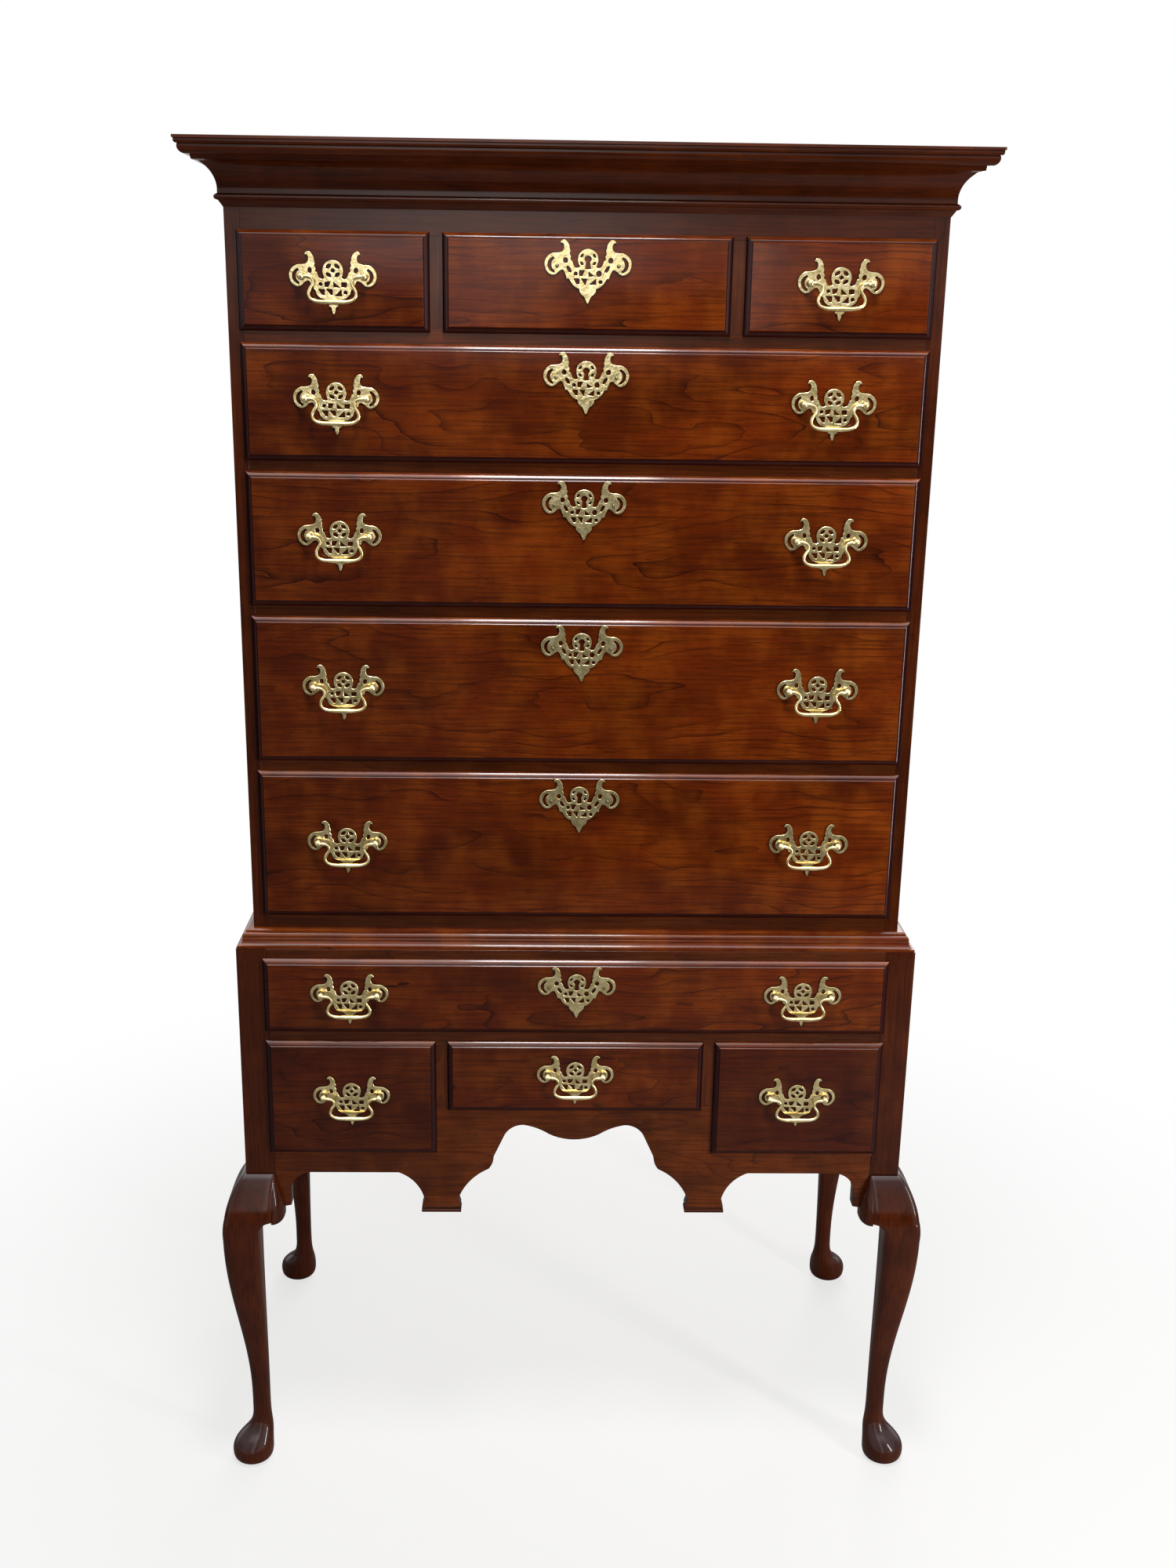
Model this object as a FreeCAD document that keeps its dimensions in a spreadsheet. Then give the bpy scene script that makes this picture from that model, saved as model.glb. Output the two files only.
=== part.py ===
# Highboy: a flat-top chest of drawers standing on a case with cabriole legs.
# Frame: X to the right, Y to the back, Z up, origin on the floor under the middle of the stand.
import FreeCAD, Part
import math
import os
import Sketcher
from FreeCAD import Vector

doc = FreeCAD.newDocument("highboy")
sheet = doc.addObject("Spreadsheet::Sheet", "sizes")

# ---------------------------------------------------------------- driving dimensions, in mm
dimensions = {
    # the stand (lower case)
    "lower_width": 924, "lower_depth": 458, "post_height": 803, "post_width": 41,
    "lower_side_thick": 19, "apron_thick": 20, "lower_back_thick": 12, "back_recess": 4,
    "lower_top_rail": 18, "long_opening": 97, "deep_opening": 161, "shallow_opening": 95,
    # the chest (upper case); it stands back from the stand on three sides
    "setback": 22, "side_thick": 19, "board_thick": 19, "back_thick": 8,
    "base_rail": 47, "opening_one": 108, "opening_two": 133, "opening_three": 160,
    "opening_four": 183, "opening_five": 194, "frieze_height": 106, "frieze_thick": 19,
    # rails, dividers and runners, alike in both cases
    "rail_height": 23.5, "rail_depth": 45, "rail_lap": 4, "divider_width": 25.5, "divider_depth": 20,
    "centre_opening": 344, "runner_width": 24, "runner_height": 18, "guide_height": 12,
    "bearer_width": 45, "bearer_height": 18,
    # drawers
    "lip_overlap": 5, "lip_thick": 6, "lip_round": 5, "lip_border": 7.5, "field_raise": 1.2,
    "lip_gap": 0.3, "front_thick": 15, "drawer_side_thick": 11, "drawer_back_thick": 11,
    "bottom_thick": 6, "bottom_rise": 9, "groove_depth": 5, "side_gap": 1.5, "top_gap": 2,
    "runner_gap": 0.3, "side_drop": 3, "back_space": 6,
    # cabriole legs
    "knee_height": 464, "knee_rise": 3, "knee_out": 32.8, "calf_height": 372, "shin_inner": 19.6,
    "ankle_height": 98, "ankle_out": 5.8, "foot_radius": 29.7, "foot_offset": 5.8,
    "foot_height": 17, "foot_base": 22, "knee_cove": 20,
    # knee blocks
    "block_top": 462, "block_bottom": 393, "block_width": 11.5, "block_forward": 24,
    # apron
    "apron_line": 465.5, "arch_height": 540.5, "arch_dip": 518, "arch_crest": 71,
    "drop_centre": 187, "drop_neck": 24, "drop_foot": 27.5, "drop_line": 411.5, "pad_thick": 8.5,
    # brasses
    "pull_spread": 618, "pull_lift": 5.5, "boring": 76.2, "plate_thick": 1.6, "plate_drop": 44.5,
    "ear_radius": 13.2, "rosette_radius": 12.6, "post_radius": 4.6, "post_reach": 14, "pin_inset": 4,
    "bail_radius": 2, "bail_drop": 31.5, "pin_gap": 0.06, "key_drop": 36,
}
for row, (name, value) in enumerate(dimensions.items(), 1):
    sheet.set(f"A{row}", name)
    sheet.set(f"B{row}", str(value))
    sheet.setAlias(f"B{row}", name)
doc.recompute()


# ---------------------------------------------------------------- sizes as formulas over the sheet
class Size:
    # A length: its formula over the sheet, for expressions, and its number in mm.
    def __init__(self, formula, number):
        self.formula = formula
        self.number = number

    def __add__(self, other):
        return combine(self, "+", other)

    def __radd__(self, other):
        return combine(other, "+", self)

    def __sub__(self, other):
        return combine(self, "-", other)

    def __rsub__(self, other):
        return combine(other, "-", self)

    def __mul__(self, factor):
        return combine(self, "*", factor)

    def __truediv__(self, factor):
        return combine(self, "/", factor)

    def __neg__(self):
        return combine(0, "-", self)


def as_size(value):
    return value if isinstance(value, Size) else Size(repr(round(value, 6)), value)


def combine(left, sign, right):
    left, right = as_size(left), as_size(right)
    numbers = {"+": left.number + right.number, "-": left.number - right.number,
               "*": left.number * right.number, "/": left.number / right.number if sign == "/" else 0}
    return Size(f"({left.formula} {sign} {right.formula})", numbers[sign])


class Sizes:
    def __getattr__(self, name):
        return Size(f"sizes.{name}", float(sheet.get(name)))


s = Sizes()


def bind(piece, name, value):
    piece.setExpression(name, as_size(value).formula)


def place(piece, corner):
    for axis, at in zip("xyz", corner):
        bind(piece, f".Placement.Base.{axis}", at)
    return piece


# ---------------------------------------------------------------- shapes
def box(label, corner, spans):
    piece = doc.addObject("Part::Box", label)
    for name, span in zip(("Length", "Width", "Height"), spans):
        bind(piece, name, span)
    return place(piece, corner)


def slab(label, x_range, y_range, z_range):
    low = [span[0] for span in (x_range, y_range, z_range)]
    spans = [span[1] - span[0] for span in (x_range, y_range, z_range)]
    return box(label, low, spans)


def cut(label, base, tools):
    tool = tools[0] if len(tools) == 1 else fuse(label + "_cuts", tools)
    piece = doc.addObject("Part::Cut", label)
    piece.Base = base
    piece.Tool = tool
    return piece


def fuse(label, pieces):
    piece = doc.addObject("Part::MultiFuse", label)
    piece.Shapes = pieces
    return piece


def common(label, pieces):
    piece = doc.addObject("Part::MultiCommon", label)
    piece.Shapes = pieces
    return piece


def group(label, pieces):
    piece = doc.addObject("Part::Compound", label)
    piece.Links = pieces
    return piece


def mirror(label, source, normal, base=Vector()):
    piece = doc.addObject("Part::Mirroring", label)
    piece.Source = source
    piece.Normal = normal
    piece.Base = base
    return piece


def draw(sketch, outline, closed=True):
    # Each entry is a corner (u, v), or (u, v, via_u, via_v) where an arc through the via point leads
    # from the corner before. Every corner is held by its two distances from the origin.
    corners = [tuple(as_size(value) for value in entry) for entry in outline]
    spots = [Vector(corner[0].number, corner[1].number, 0) for corner in corners]
    if not closed:
        first_spot = spots.pop(0)
        corners = corners[1:]
    for index, corner in enumerate(corners):
        start, end = spots[index - 1], spots[index]
        if not closed and index == 0:
            start = first_spot
        if len(corner) == 4:
            via = Vector(corner[2].number, corner[3].number, 0)
            arc = Part.Arc(start, via, end)
            forward = (via - start).cross(end - via).z > 0
            sketch.addGeometry(arc)
            first, last = (1, 2) if forward else (2, 1)
        else:
            sketch.addGeometry(Part.LineSegment(start, end))
            first, last = 1, 2
        if index:
            sketch.addConstraint(Sketcher.Constraint("Coincident", index - 1, previous, index, first))
        else:
            opening = first
        previous = last
        for way, value in (("DistanceX", corner[0]), ("DistanceY", corner[1])):
            held = sketch.addConstraint(Sketcher.Constraint(way, -1, 1, index, last, value.number))
            sketch.setExpression(f"Constraints[{held}]", value.formula)
    if closed:
        sketch.addConstraint(Sketcher.Constraint("Coincident", len(corners) - 1, previous, 0, opening))


def plane_of(body, role):
    return next(plane for plane in body.Origin.OriginFeatures if plane.Role == role)


def sketch_on(body, role, outline):
    sketch = body.newObject("Sketcher::SketchObject", body.Name + "_outline")
    sketch.AttachmentSupport = (plane_of(body, role), [""])
    sketch.MapMode = "FlatFace"
    draw(sketch, outline)
    return sketch


def padded(label, role, outline, length, corner):
    # A board or moulding: the outline on one of the body's planes, padded along its normal.
    body = doc.addObject("PartDesign::Body", label)
    pad = body.newObject("PartDesign::Pad", label + "_pad")
    pad.Profile = sketch_on(body, role, outline)
    bind(pad, "Length", length)
    return place(body, corner)


# ---------------------------------------------------------------- places that several pieces share
half_low = s.lower_width / 2
front_low = -(s.lower_depth / 2)
back = s.lower_depth / 2
half_up = half_low - s.setback
front_up = front_low + s.setback
inner_low = half_low - s.post_width
inner_up = half_up - s.side_thick
lower_back_front = back - s.back_recess - s.lower_back_thick
lower_rail_back = front_low + s.post_width + s.rail_lap
long_top = s.post_height - s.lower_top_rail
long_bottom = long_top - s.long_opening
small_top = long_bottom - s.rail_height
deep_bottom = small_top - s.deep_opening
shallow_bottom = small_top - s.shallow_opening
half_centre = s.centre_opening / 2
divider_outer = half_centre + s.divider_width
row_bottom = {5: s.post_height + s.base_rail}
row_top = {5: row_bottom[5] + s.opening_five}
for row, opening in ((4, s.opening_four), (3, s.opening_three), (2, s.opening_two), (1, s.opening_one)):
    row_bottom[row] = row_top[row + 1] + s.rail_height
    row_top[row] = row_bottom[row] + opening
top = row_top[1] + s.frieze_height
parts = []


def keep(piece):
    parts.append(piece)
    return piece


# ---------------------------------------------------------------- cabriole legs
def blend(low, high, weight):
    return low * (1 - weight) + high * weight


def leg_stations():
    # Sections from the floor up: height, reach outwards and inwards of the post's outer faces, and
    # how round the section is (1 a circle, 0 a square). The shin is half a cosine wave from the
    # ankle to the calf, the knee a quarter sine wave up to its ledge, and a quarter-round cove on
    # the inner side widens the knee to the post.
    foot_out = s.foot_radius + s.foot_offset
    foot_in = s.foot_radius - s.foot_offset
    undercut = s.foot_radius - s.foot_base
    stations = [
        (as_size(0), foot_out - undercut, foot_in - undercut, 0.98),
        (s.foot_height * 0.3, foot_out - undercut * 0.2, foot_in - undercut * 0.2, 0.98),
        (s.foot_height, foot_out, foot_in, 0.98),
        (s.foot_height * 1.65, foot_out - 2.8, foot_in, 0.98),
        (s.foot_height * 2.2, foot_out - 10, foot_in + 0.3, 0.95),
        (s.foot_height * 2.75, s.ankle_out + 9.5, foot_in + 0.1, 0.9),
        (s.foot_height * 3.4, s.ankle_out + 3, s.shin_inner + 3, 0.84),
        (s.foot_height * 4.3, s.ankle_out + 0.8, s.shin_inner + 0.8, 0.8),
    ]
    for share in (0, 0.2, 0.36, 0.52, 0.68, 0.84, 1):
        weight = (1 - math.cos(math.pi * share)) / 2
        height = blend(s.ankle_height, s.calf_height, share)
        stations.append((height, blend(s.ankle_out, s.knee_out, weight), s.shin_inner, 0.8 - 0.35 * share))
    knee_span = s.knee_height - s.calf_height
    for angle in (35, 65, 90):
        rise = s.knee_cove * math.sin(math.radians(angle))
        inner = s.shin_inner + s.knee_cove * (1 - math.cos(math.radians(angle)))
        share = rise.number / knee_span.number
        stations.append((s.calf_height + rise, knee_reach(share), inner, 0.42 - 0.2 * share))
    for share in (0.3, 0.52, 0.72, 0.88, 1):
        height = blend(s.calf_height, s.knee_height, share)
        stations.append((height, knee_reach(share), s.post_width, 0.3 - 0.15 * share))
    return stations


def knee_reach(share):
    # How far the knee stands out of the post, by the share of its height above the calf.
    return blend(s.knee_rise, s.knee_out, math.sin(math.pi / 2 * (1 - share) ** 0.75))


def rounded_square(height, out, inner, roundness):
    # A twelve-sided section with its corners on the leg's diagonal, about the post's outer corner.
    # Its sides keep their directions from station to station, so the faces between them are flat.
    corner = (out + inner) / 2 * roundness
    sag = corner * (1 - math.sqrt(0.5))
    low, high = -out, inner
    outline = [(high - corner, low), (high - sag, low + sag), (high, low + corner),
               (high, high - corner), (high - sag, high - sag), (high - corner, high),
               (low + corner, high), (low + sag, high - sag), (low, high - corner),
               (low, low + corner), (low + sag, low + sag), (low + corner, low)]
    return [Vector(x.number, y.number, height.number) for x, y in outline]


def limb():
    # The carved length of the leg as flat faces from each section to the next: a loft through the
    # same sections would give spline patches, which no plane tool and no rasp leaves.
    rings = [rounded_square(*station) for station in leg_stations()]
    faces = [Part.Face(Part.makePolygon(ring + ring[:1])) for ring in (rings[0], rings[-1])]
    for lower, upper in zip(rings, rings[1:]):
        for index in range(len(lower)):
            corners = [lower[index - 1], lower[index], upper[index], upper[index - 1]]
            faces.append(Part.Face(Part.makePolygon(corners + corners[:1])))
    piece = doc.addObject("Part::Feature", "leg_limb")
    solid = Part.Solid(Part.Shell(faces))
    if solid.Volume < 0:
        solid.reverse()
    piece.Shape = solid
    return piece


def leg():
    # One leg about its post's outer corner, toes to -X and -Y, then moved to its place.
    lap = 1
    post = slab("leg_post", (0, s.post_width), (0, s.post_width), (s.knee_height - lap, s.post_height))
    return place(fuse("leg_front_left", [post, limb()]), (-half_low, front_low, 0))


def legs():
    front_left = keep(leg())
    front_right = keep(mirror("leg_front_right", front_left, Vector(1, 0, 0)))
    keep(mirror("leg_rear_left", front_left, Vector(0, 1, 0)))
    keep(mirror("leg_rear_right", front_right, Vector(0, 1, 0)))


# ---------------------------------------------------------------- apron, drops and knee blocks
def apron_end():
    # The bracket beside a post, from the post's foot out to the straight lower edge.
    edge = inner_low - s.block_width
    cove = 29
    return [(inner_low, s.drop_line), (edge, s.drop_line), (edge - 10, s.drop_line + 2),
            (edge - 10, s.apron_line - cove),
            (edge - 10 - cove, s.apron_line, edge - 10 - cove * 0.293, s.apron_line - cove * 0.293)]


def apron_half():
    # The right half of the scalloped edge, from the post to the middle: bracket, straight edge,
    # pendant drop, then the double-ogee arch.
    line, foot = s.apron_line, s.drop_line
    outer, inner = s.drop_centre, s.drop_centre
    return apron_end() + [
        (outer + 60, line),
        (outer + s.drop_neck, foot + 12, outer + 37, foot + 38),
        (outer + s.drop_foot, foot),
        (inner - s.drop_foot, foot),
        (inner - s.drop_neck, foot + 12),
        (inner - 67, line + 6, inner - 41, line - 13),
        (s.arch_crest + 42, line + 25, s.arch_crest + 44, line + 14),
        (s.arch_crest + 28, s.arch_height - 19),
        (s.arch_crest, s.arch_height, s.arch_crest + 17, s.arch_height - 5),
        (s.arch_crest / 2, s.arch_dip + 8.5, s.arch_crest * 0.76, s.arch_height - 4.5),
    ]


def flipped(outline):
    # The same outline with X reversed, walked the other way round.
    swapped = []
    for index in range(len(outline) - 1, 0, -1):
        end = outline[index - 1]
        via = outline[index][2:]
        swapped.append((-end[0], end[1]) + ((-via[0], via[1]) if via else ()))
    return swapped


def front_apron():
    half = apron_half()
    last = half[-1]
    dip = (-last[0], last[1], as_size(0), s.arch_dip)
    outline = [(inner_low, deep_bottom)] + half + [dip] + flipped(half)
    outline += [(-inner_low, deep_bottom), (-divider_outer, deep_bottom), (-divider_outer, shallow_bottom),
                (divider_outer, shallow_bottom), (divider_outer, deep_bottom)]
    # the XZ plane's normal looks to the front, so the pad starts at the apron's back
    return padded("front_apron", "XZ_Plane", outline, s.apron_thick, (0, front_low + s.apron_thick, 0))


def drop_pads():
    pads = []
    for side in (-1, 1):
        middle = s.drop_centre * side
        low = s.drop_line - s.pad_thick
        waist = s.pad_thick / 2
        y_range = (front_low - 0.5, front_low + s.apron_thick + 0.5)
        wide = s.drop_foot + 0.5
        narrow = s.drop_foot - 0.6
        pads.append(fuse(f"drop_pad_{side + 2}", [
            slab(f"drop_pad_low_{side + 2}", (middle - wide, middle + wide), y_range, (low, low + waist)),
            slab(f"drop_pad_high_{side + 2}", (middle - narrow, middle + narrow),
                 (front_low + 0.6, front_low + s.apron_thick - 0.6), (low + waist, s.drop_line))]))
    return group("drop_pads", pads)


def side_outline():
    # A side board's lower edge repeats the apron's brackets; its top meets the bearers.
    reach = back - s.post_width
    shift = reach - inner_low
    end = [tuple(value + shift if index % 2 == 0 else value for index, value in enumerate(entry))
           for entry in apron_end()]
    across = (-end[-1][0], end[-1][1])
    return [(reach, s.post_height)] + end + [across] + flipped(end) + [(-reach, s.post_height)]


def lower_sides():
    outline = side_outline()
    keep(padded("lower_side_left", "YZ_Plane", outline, s.lower_side_thick, (-half_low, 0, 0)))
    keep(padded("lower_side_right", "YZ_Plane", outline, s.lower_side_thick,
                (half_low - s.lower_side_thick, 0, 0)))


def knee_block(apron):
    # A scrolled bracket that carries the knee's curve on to the apron beside the front left post.
    left = -inner_low
    right = left + s.block_width
    low, high = s.block_bottom, s.block_top
    face = padded("block_face", "XZ_Plane", [
        (left, high), (left, low + 3), (left + 3, low + 0.8), (left + 7, low), (right - 1, low + 5),
        (right, low + 12), (right, s.drop_line + 6), (left + 6, high - 20), (left + 2, high)],
        s.post_width + s.block_forward, (0, front_low + s.post_width, 0))
    rear = front_low + s.post_width
    ahead = s.block_forward
    side = padded("block_side", "YZ_Plane", [
        (rear, high), (rear, low - 2), (front_low - ahead * 0.6, low - 2), (front_low - ahead, low + 12),
        (front_low - ahead * 0.9, low + 32), (front_low - ahead * 0.6, low + 52), (front_low - 2, high)],
        s.block_width + 2, (left, 0, 0))
    raw = common("block_raw", [face, side])
    return cut("block_front", raw, [apron])


def knee_blocks(apron):
    first = knee_block(apron)
    corner = Vector(-half_low.number, front_low.number, 0)
    turned = mirror("block_turned", first, Vector(1, -1, 0), corner)
    pair = group("block_pair", [first, turned])
    right = mirror("block_pair_right", pair, Vector(1, 0, 0))
    fore = group("block_pairs_fore", [pair, right])
    aft = mirror("block_pairs_aft", fore, Vector(0, 1, 0))
    return group("knee_blocks", [fore, aft])


# ---------------------------------------------------------------- mouldings
def cornice_outline():
    # Reach from the case and height from the top: chamfer, bead, long cove, soffit, ovolo, fillet.
    return [(0, 0), (0, -76), (5, -68.5), (8.4, -66.8), (8.4, -62.6), (5.5, -60.6), (5.5, -58),
            (23.5, -26, 10.4, -38.5), (30, -25), (31, -19.8), (37, -19.8),
            (42.5, -8.5, 42.6, -15.3), (47.5, -4), (48, 0)]


def waist_outline():
    # Reach from the upper case and height from the foot: fillet, ovolo, cove and small bead.
    return [(0, 0), (20.5, 0), (20.5, 3.6), (18, 3.6), (14, 11.5, 14.8, 6.6), (13.2, 13.2),
            (9.6, 19.8, 12.6, 18), (9.2, 22.4), (6.6, 24), (0, 24)]


def moulding(label, outline, reach, height, corner_half, corner_front):
    # Front length and two returns, mitred at the corners by planes at 45 degrees.
    turned_outline = [(-entry[0], entry[1]) + ((-entry[2], entry[3]) if len(entry) == 4 else ())
                      for entry in outline]
    over = 4
    run = corner_half * 2 + reach * 2 + over * 2
    depth = back - corner_front + reach + over
    front_run = padded(label + "_front_run", "YZ_Plane", turned_outline, run,
                       (-corner_half - reach - over, corner_front, height))
    left_run = padded(label + "_left_run", "XZ_Plane", turned_outline, depth, (-corner_half, back, height))
    right_run = padded(label + "_right_run", "XZ_Plane", outline, depth, (corner_half, back, height))
    ahead = mitre_block(label + "_ahead", corner_half, corner_front, reach, height)
    front = common(label + "_front", [front_run, ahead])
    left = cut(label + "_left", left_run, [ahead])
    right = cut(label + "_right", right_run, [ahead])
    return group(label, [front, left, right])


def mitre_block(label, corner_half, corner_front, reach, height):
    # The wedge of space in front of both mitre planes.
    wide = corner_half + reach * 3
    deep = reach * 3
    outline = [(corner_half, 0), (-corner_half, 0), (-wide, -deep), (wide, -deep)]
    tall = 200
    return padded(label, "XY_Plane", outline, as_size(tall), (0, corner_front, height - tall / 2))


# ---------------------------------------------------------------- lower case
def lower_case():
    apron = keep(front_apron())
    keep(drop_pads())
    lower_sides()
    keep(knee_blocks(apron))
    keep(slab("lower_back", (-inner_low, inner_low), (lower_back_front, back - s.back_recess),
              (s.apron_line, s.post_height)))
    keep(lower_rails())
    keep(lower_bearers())
    keep(lower_runners())
    keep(moulding("waist_moulding", waist_outline(), as_size(20.5), s.post_height, half_up, front_up))


def lower_rails():
    # The top rail, the rail under the long drawer, and the dividers between the three small ones.
    rail_y = (front_low, lower_rail_back)
    top_rail = slab("lower_rail_top", (-inner_low, inner_low), rail_y, (long_top, s.post_height))
    middle_rail = slab("lower_rail_middle", (-inner_low, inner_low), rail_y, (small_top, long_bottom))
    return group("lower_rails", [top_rail, middle_rail] + dividers(
        "lower_divider", front_low, (shallow_bottom, small_top)))


def dividers(label, front, z_range):
    # A pair of uprights between three drawers, level with the case's front.
    y_range = (front, front + s.divider_depth)
    return [slab(f"{label}_left", (-divider_outer, -half_centre), y_range, z_range),
            slab(f"{label}_right", (half_centre, divider_outer), y_range, z_range)]


def lower_bearers():
    # Strips level with the post tops; the upper case's sides and back stand on them.
    low = s.post_height - s.bearer_height
    side_inner = half_low - s.lower_side_thick
    y_range = (lower_rail_back, back - s.post_width)
    left = slab("bearer_left", (-side_inner, -side_inner + s.bearer_width), y_range, (low, s.post_height))
    right = slab("bearer_right", (side_inner - s.bearer_width, side_inner), y_range, (low, s.post_height))
    rear_y = (back - s.post_width, lower_back_front)
    rear = slab("bearer_rear", (-inner_low, inner_low), rear_y, (low, s.post_height))
    return group("lower_bearers", [left, right, rear])


def lower_runners():
    # Under each drawer edge a strip from the front rail or apron to the back; guides beside it.
    strips = []
    side_inner = half_low - s.lower_side_thick
    y_back = back - s.post_width
    wide = s.post_width - s.lower_side_thick + s.runner_width
    for side in (-1, 1):
        edges = sorted([side_inner * side, (side_inner - wide) * side], key=lambda size: size.number)
        for name, level, start in (("long", long_bottom, lower_rail_back),
                                   ("deep", deep_bottom, front_low + s.post_width)):
            strips.append(slab(f"runner_{name}_{side + 2}", edges, (start, y_back),
                               (level - s.runner_height, level)))
        middle = (half_centre + divider_outer) / 2 * side
        reach = s.divider_width / 2 + s.runner_width
        strips.append(slab(f"runner_centre_{side + 2}", (middle - reach, middle + reach),
                           (front_low + s.apron_thick, lower_back_front),
                           (deep_bottom - s.runner_height, deep_bottom)))
    return group("lower_runners", strips)


# ---------------------------------------------------------------- upper case
def upper_case():
    sides_z = (s.post_height, top)
    keep(slab("upper_side_left", (-half_up, -inner_up), (front_up, back), sides_z))
    keep(slab("upper_side_right", (inner_up, half_up), (front_up, back), sides_z))
    inside_y = (front_up + s.frieze_thick, back - s.back_thick)
    keep(slab("upper_top", (-inner_up, inner_up), inside_y, (top - s.board_thick, top)))
    keep(slab("upper_bottom", (-inner_up, inner_up), inside_y,
              (s.post_height, s.post_height + s.board_thick)))
    keep(slab("upper_back", (-inner_up, inner_up), (back - s.back_thick, back), sides_z))
    keep(slab("frieze_board", (-inner_up, inner_up), (front_up, front_up + s.frieze_thick),
              (row_top[1], top)))
    keep(upper_rails())
    keep(upper_runners())
    keep(moulding("cornice", cornice_outline(), as_size(48), top, half_up, front_up))


def upper_rails():
    # The base rail, a rail over each lower row of drawers, and the dividers of the top row.
    rails = [slab("base_rail", (-inner_up, inner_up), (front_up, front_up + s.frieze_thick),
                  (s.post_height, row_bottom[5]))]
    for row in (1, 2, 3, 4):
        rails.append(slab(f"rail_under_row_{row}", (-inner_up, inner_up),
                          (front_up, front_up + s.rail_depth), (row_top[row + 1], row_bottom[row])))
    return group("upper_rails", rails + dividers("upper_divider", front_up, (row_bottom[1], row_top[1])))


def upper_runners():
    strips = []
    y_back = back - s.back_thick
    for side in (-1, 1):
        edges = sorted([inner_up * side, (inner_up - s.runner_width) * side], key=lambda size: size.number)
        for row in (1, 2, 3, 4, 5):
            y_front = front_up + (s.frieze_thick if row == 5 else s.rail_depth)
            strips.append(slab(f"runner_row_{row}_{side + 2}", edges, (y_front, y_back),
                               (row_bottom[row] - s.runner_height, row_bottom[row])))
        middle = (half_centre + divider_outer) / 2 * side
        reach = s.divider_width / 2 + s.runner_width
        strips.append(slab(f"runner_between_{side + 2}", (middle - reach, middle + reach),
                           (front_up + s.rail_depth, y_back),
                           (row_bottom[1] - s.runner_height, row_bottom[1])))
        guide = s.divider_width / 2
        strips.append(slab(f"guide_between_{side + 2}", (middle - guide, middle + guide),
                           (front_up + s.divider_depth, y_back),
                           (row_bottom[1], row_bottom[1] + s.guide_height)))
    return group("upper_runners", strips)


# ---------------------------------------------------------------- drawers
def drawer_front(label, x_range, z_range, y_front):
    # One board: a block that fills the opening, and a lip that laps the case, its edge rounded
    # to a thumbnail below a slightly raised field. Its back is grooved for the bottom.
    left, right = x_range
    low, high = z_range
    body = doc.addObject("PartDesign::Body", label + "_front")

    def add(kind, name, x_span, y_span, z_span):
        feature = body.newObject(f"PartDesign::{kind}", f"{label}_{name}")
        for size_name, span in zip(("Length", "Width", "Height"), (x_span, y_span, z_span)):
            bind(feature, size_name, span[1] - span[0])
        return place(feature, (x_span[0], y_span[0], z_span[0]))

    overlap = s.lip_overlap
    lip_back = y_front - s.lip_gap
    lip_face = lip_back - s.lip_thick
    lip = add("AdditiveBox", "lip", (left - overlap, right + overlap), (lip_face, lip_back),
              (low - overlap, high + overlap))
    doc.recompute()
    front_edges = [f"Edge{index}" for index, edge in enumerate(lip.Shape.Edges, 1)
                   if abs(edge.BoundBox.YMax - lip_face.number) < 1e-6]
    rounding = body.newObject("PartDesign::Fillet", label + "_thumbnail")
    rounding.Base = (lip, front_edges)
    bind(rounding, "Radius", s.lip_round)
    border = s.lip_border - overlap
    add("AdditiveBox", "field", (left + border, right - border), (lip_face - s.field_raise, lip_face + 1),
        (low + border, high - border))
    inset = s.side_gap
    block_back = y_front + s.front_thick
    add("AdditiveBox", "block", (left + inset, right - inset), (lip_back - 1, block_back),
        (low + s.runner_gap, high - s.top_gap))
    groove_low = low + s.runner_gap + s.bottom_rise
    add("SubtractiveBox", "groove", (left + inset + s.drawer_side_thick - s.groove_depth,
                                     right - inset - s.drawer_side_thick + s.groove_depth),
        (block_back - s.groove_depth, block_back + 1), (groove_low, groove_low + s.bottom_thick))
    return body


def drawer(label, x_range, z_range, y_front, y_wall):
    # Five boards: the lipped front, two grooved sides, the back, and the bottom held in grooves.
    left, right = x_range
    low, high = z_range
    front = drawer_front(label, x_range, z_range, y_front)
    box_left, box_right = left + s.side_gap, right - s.side_gap
    box_low, box_high = low + s.runner_gap, high - s.top_gap - s.side_drop
    y_start = y_front + s.front_thick
    y_end = y_wall - s.back_space
    groove_z = (box_low + s.bottom_rise, box_low + s.bottom_rise + s.bottom_thick)
    sides = []
    for name, outer, inner in (("left", box_left, box_left + s.drawer_side_thick),
                               ("right", box_right, box_right - s.drawer_side_thick)):
        span = sorted([outer, inner], key=lambda size: size.number)
        board = slab(f"{label}_{name}_board", span, (y_start, y_end), (box_low, box_high))
        inwards = 1 if name == "left" else -1
        mouth = sorted([inner + inwards, inner - s.groove_depth * inwards], key=lambda size: size.number)
        slot = slab(f"{label}_{name}_slot", mouth, (y_start - 1, y_end + 1), groove_z)
        sides.append(cut(f"{label}_{name}_side", board, [slot]))
    inner_x = (box_left + s.drawer_side_thick, box_right - s.drawer_side_thick)
    rear = slab(f"{label}_back", inner_x, (y_end - s.drawer_back_thick, y_end), (groove_z[1], box_high))
    bottom = slab(f"{label}_bottom", (inner_x[0] - s.groove_depth, inner_x[1] + s.groove_depth),
                  (y_start - s.groove_depth, y_end), groove_z)
    return group(label, [front] + sides + [rear, bottom])


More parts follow.
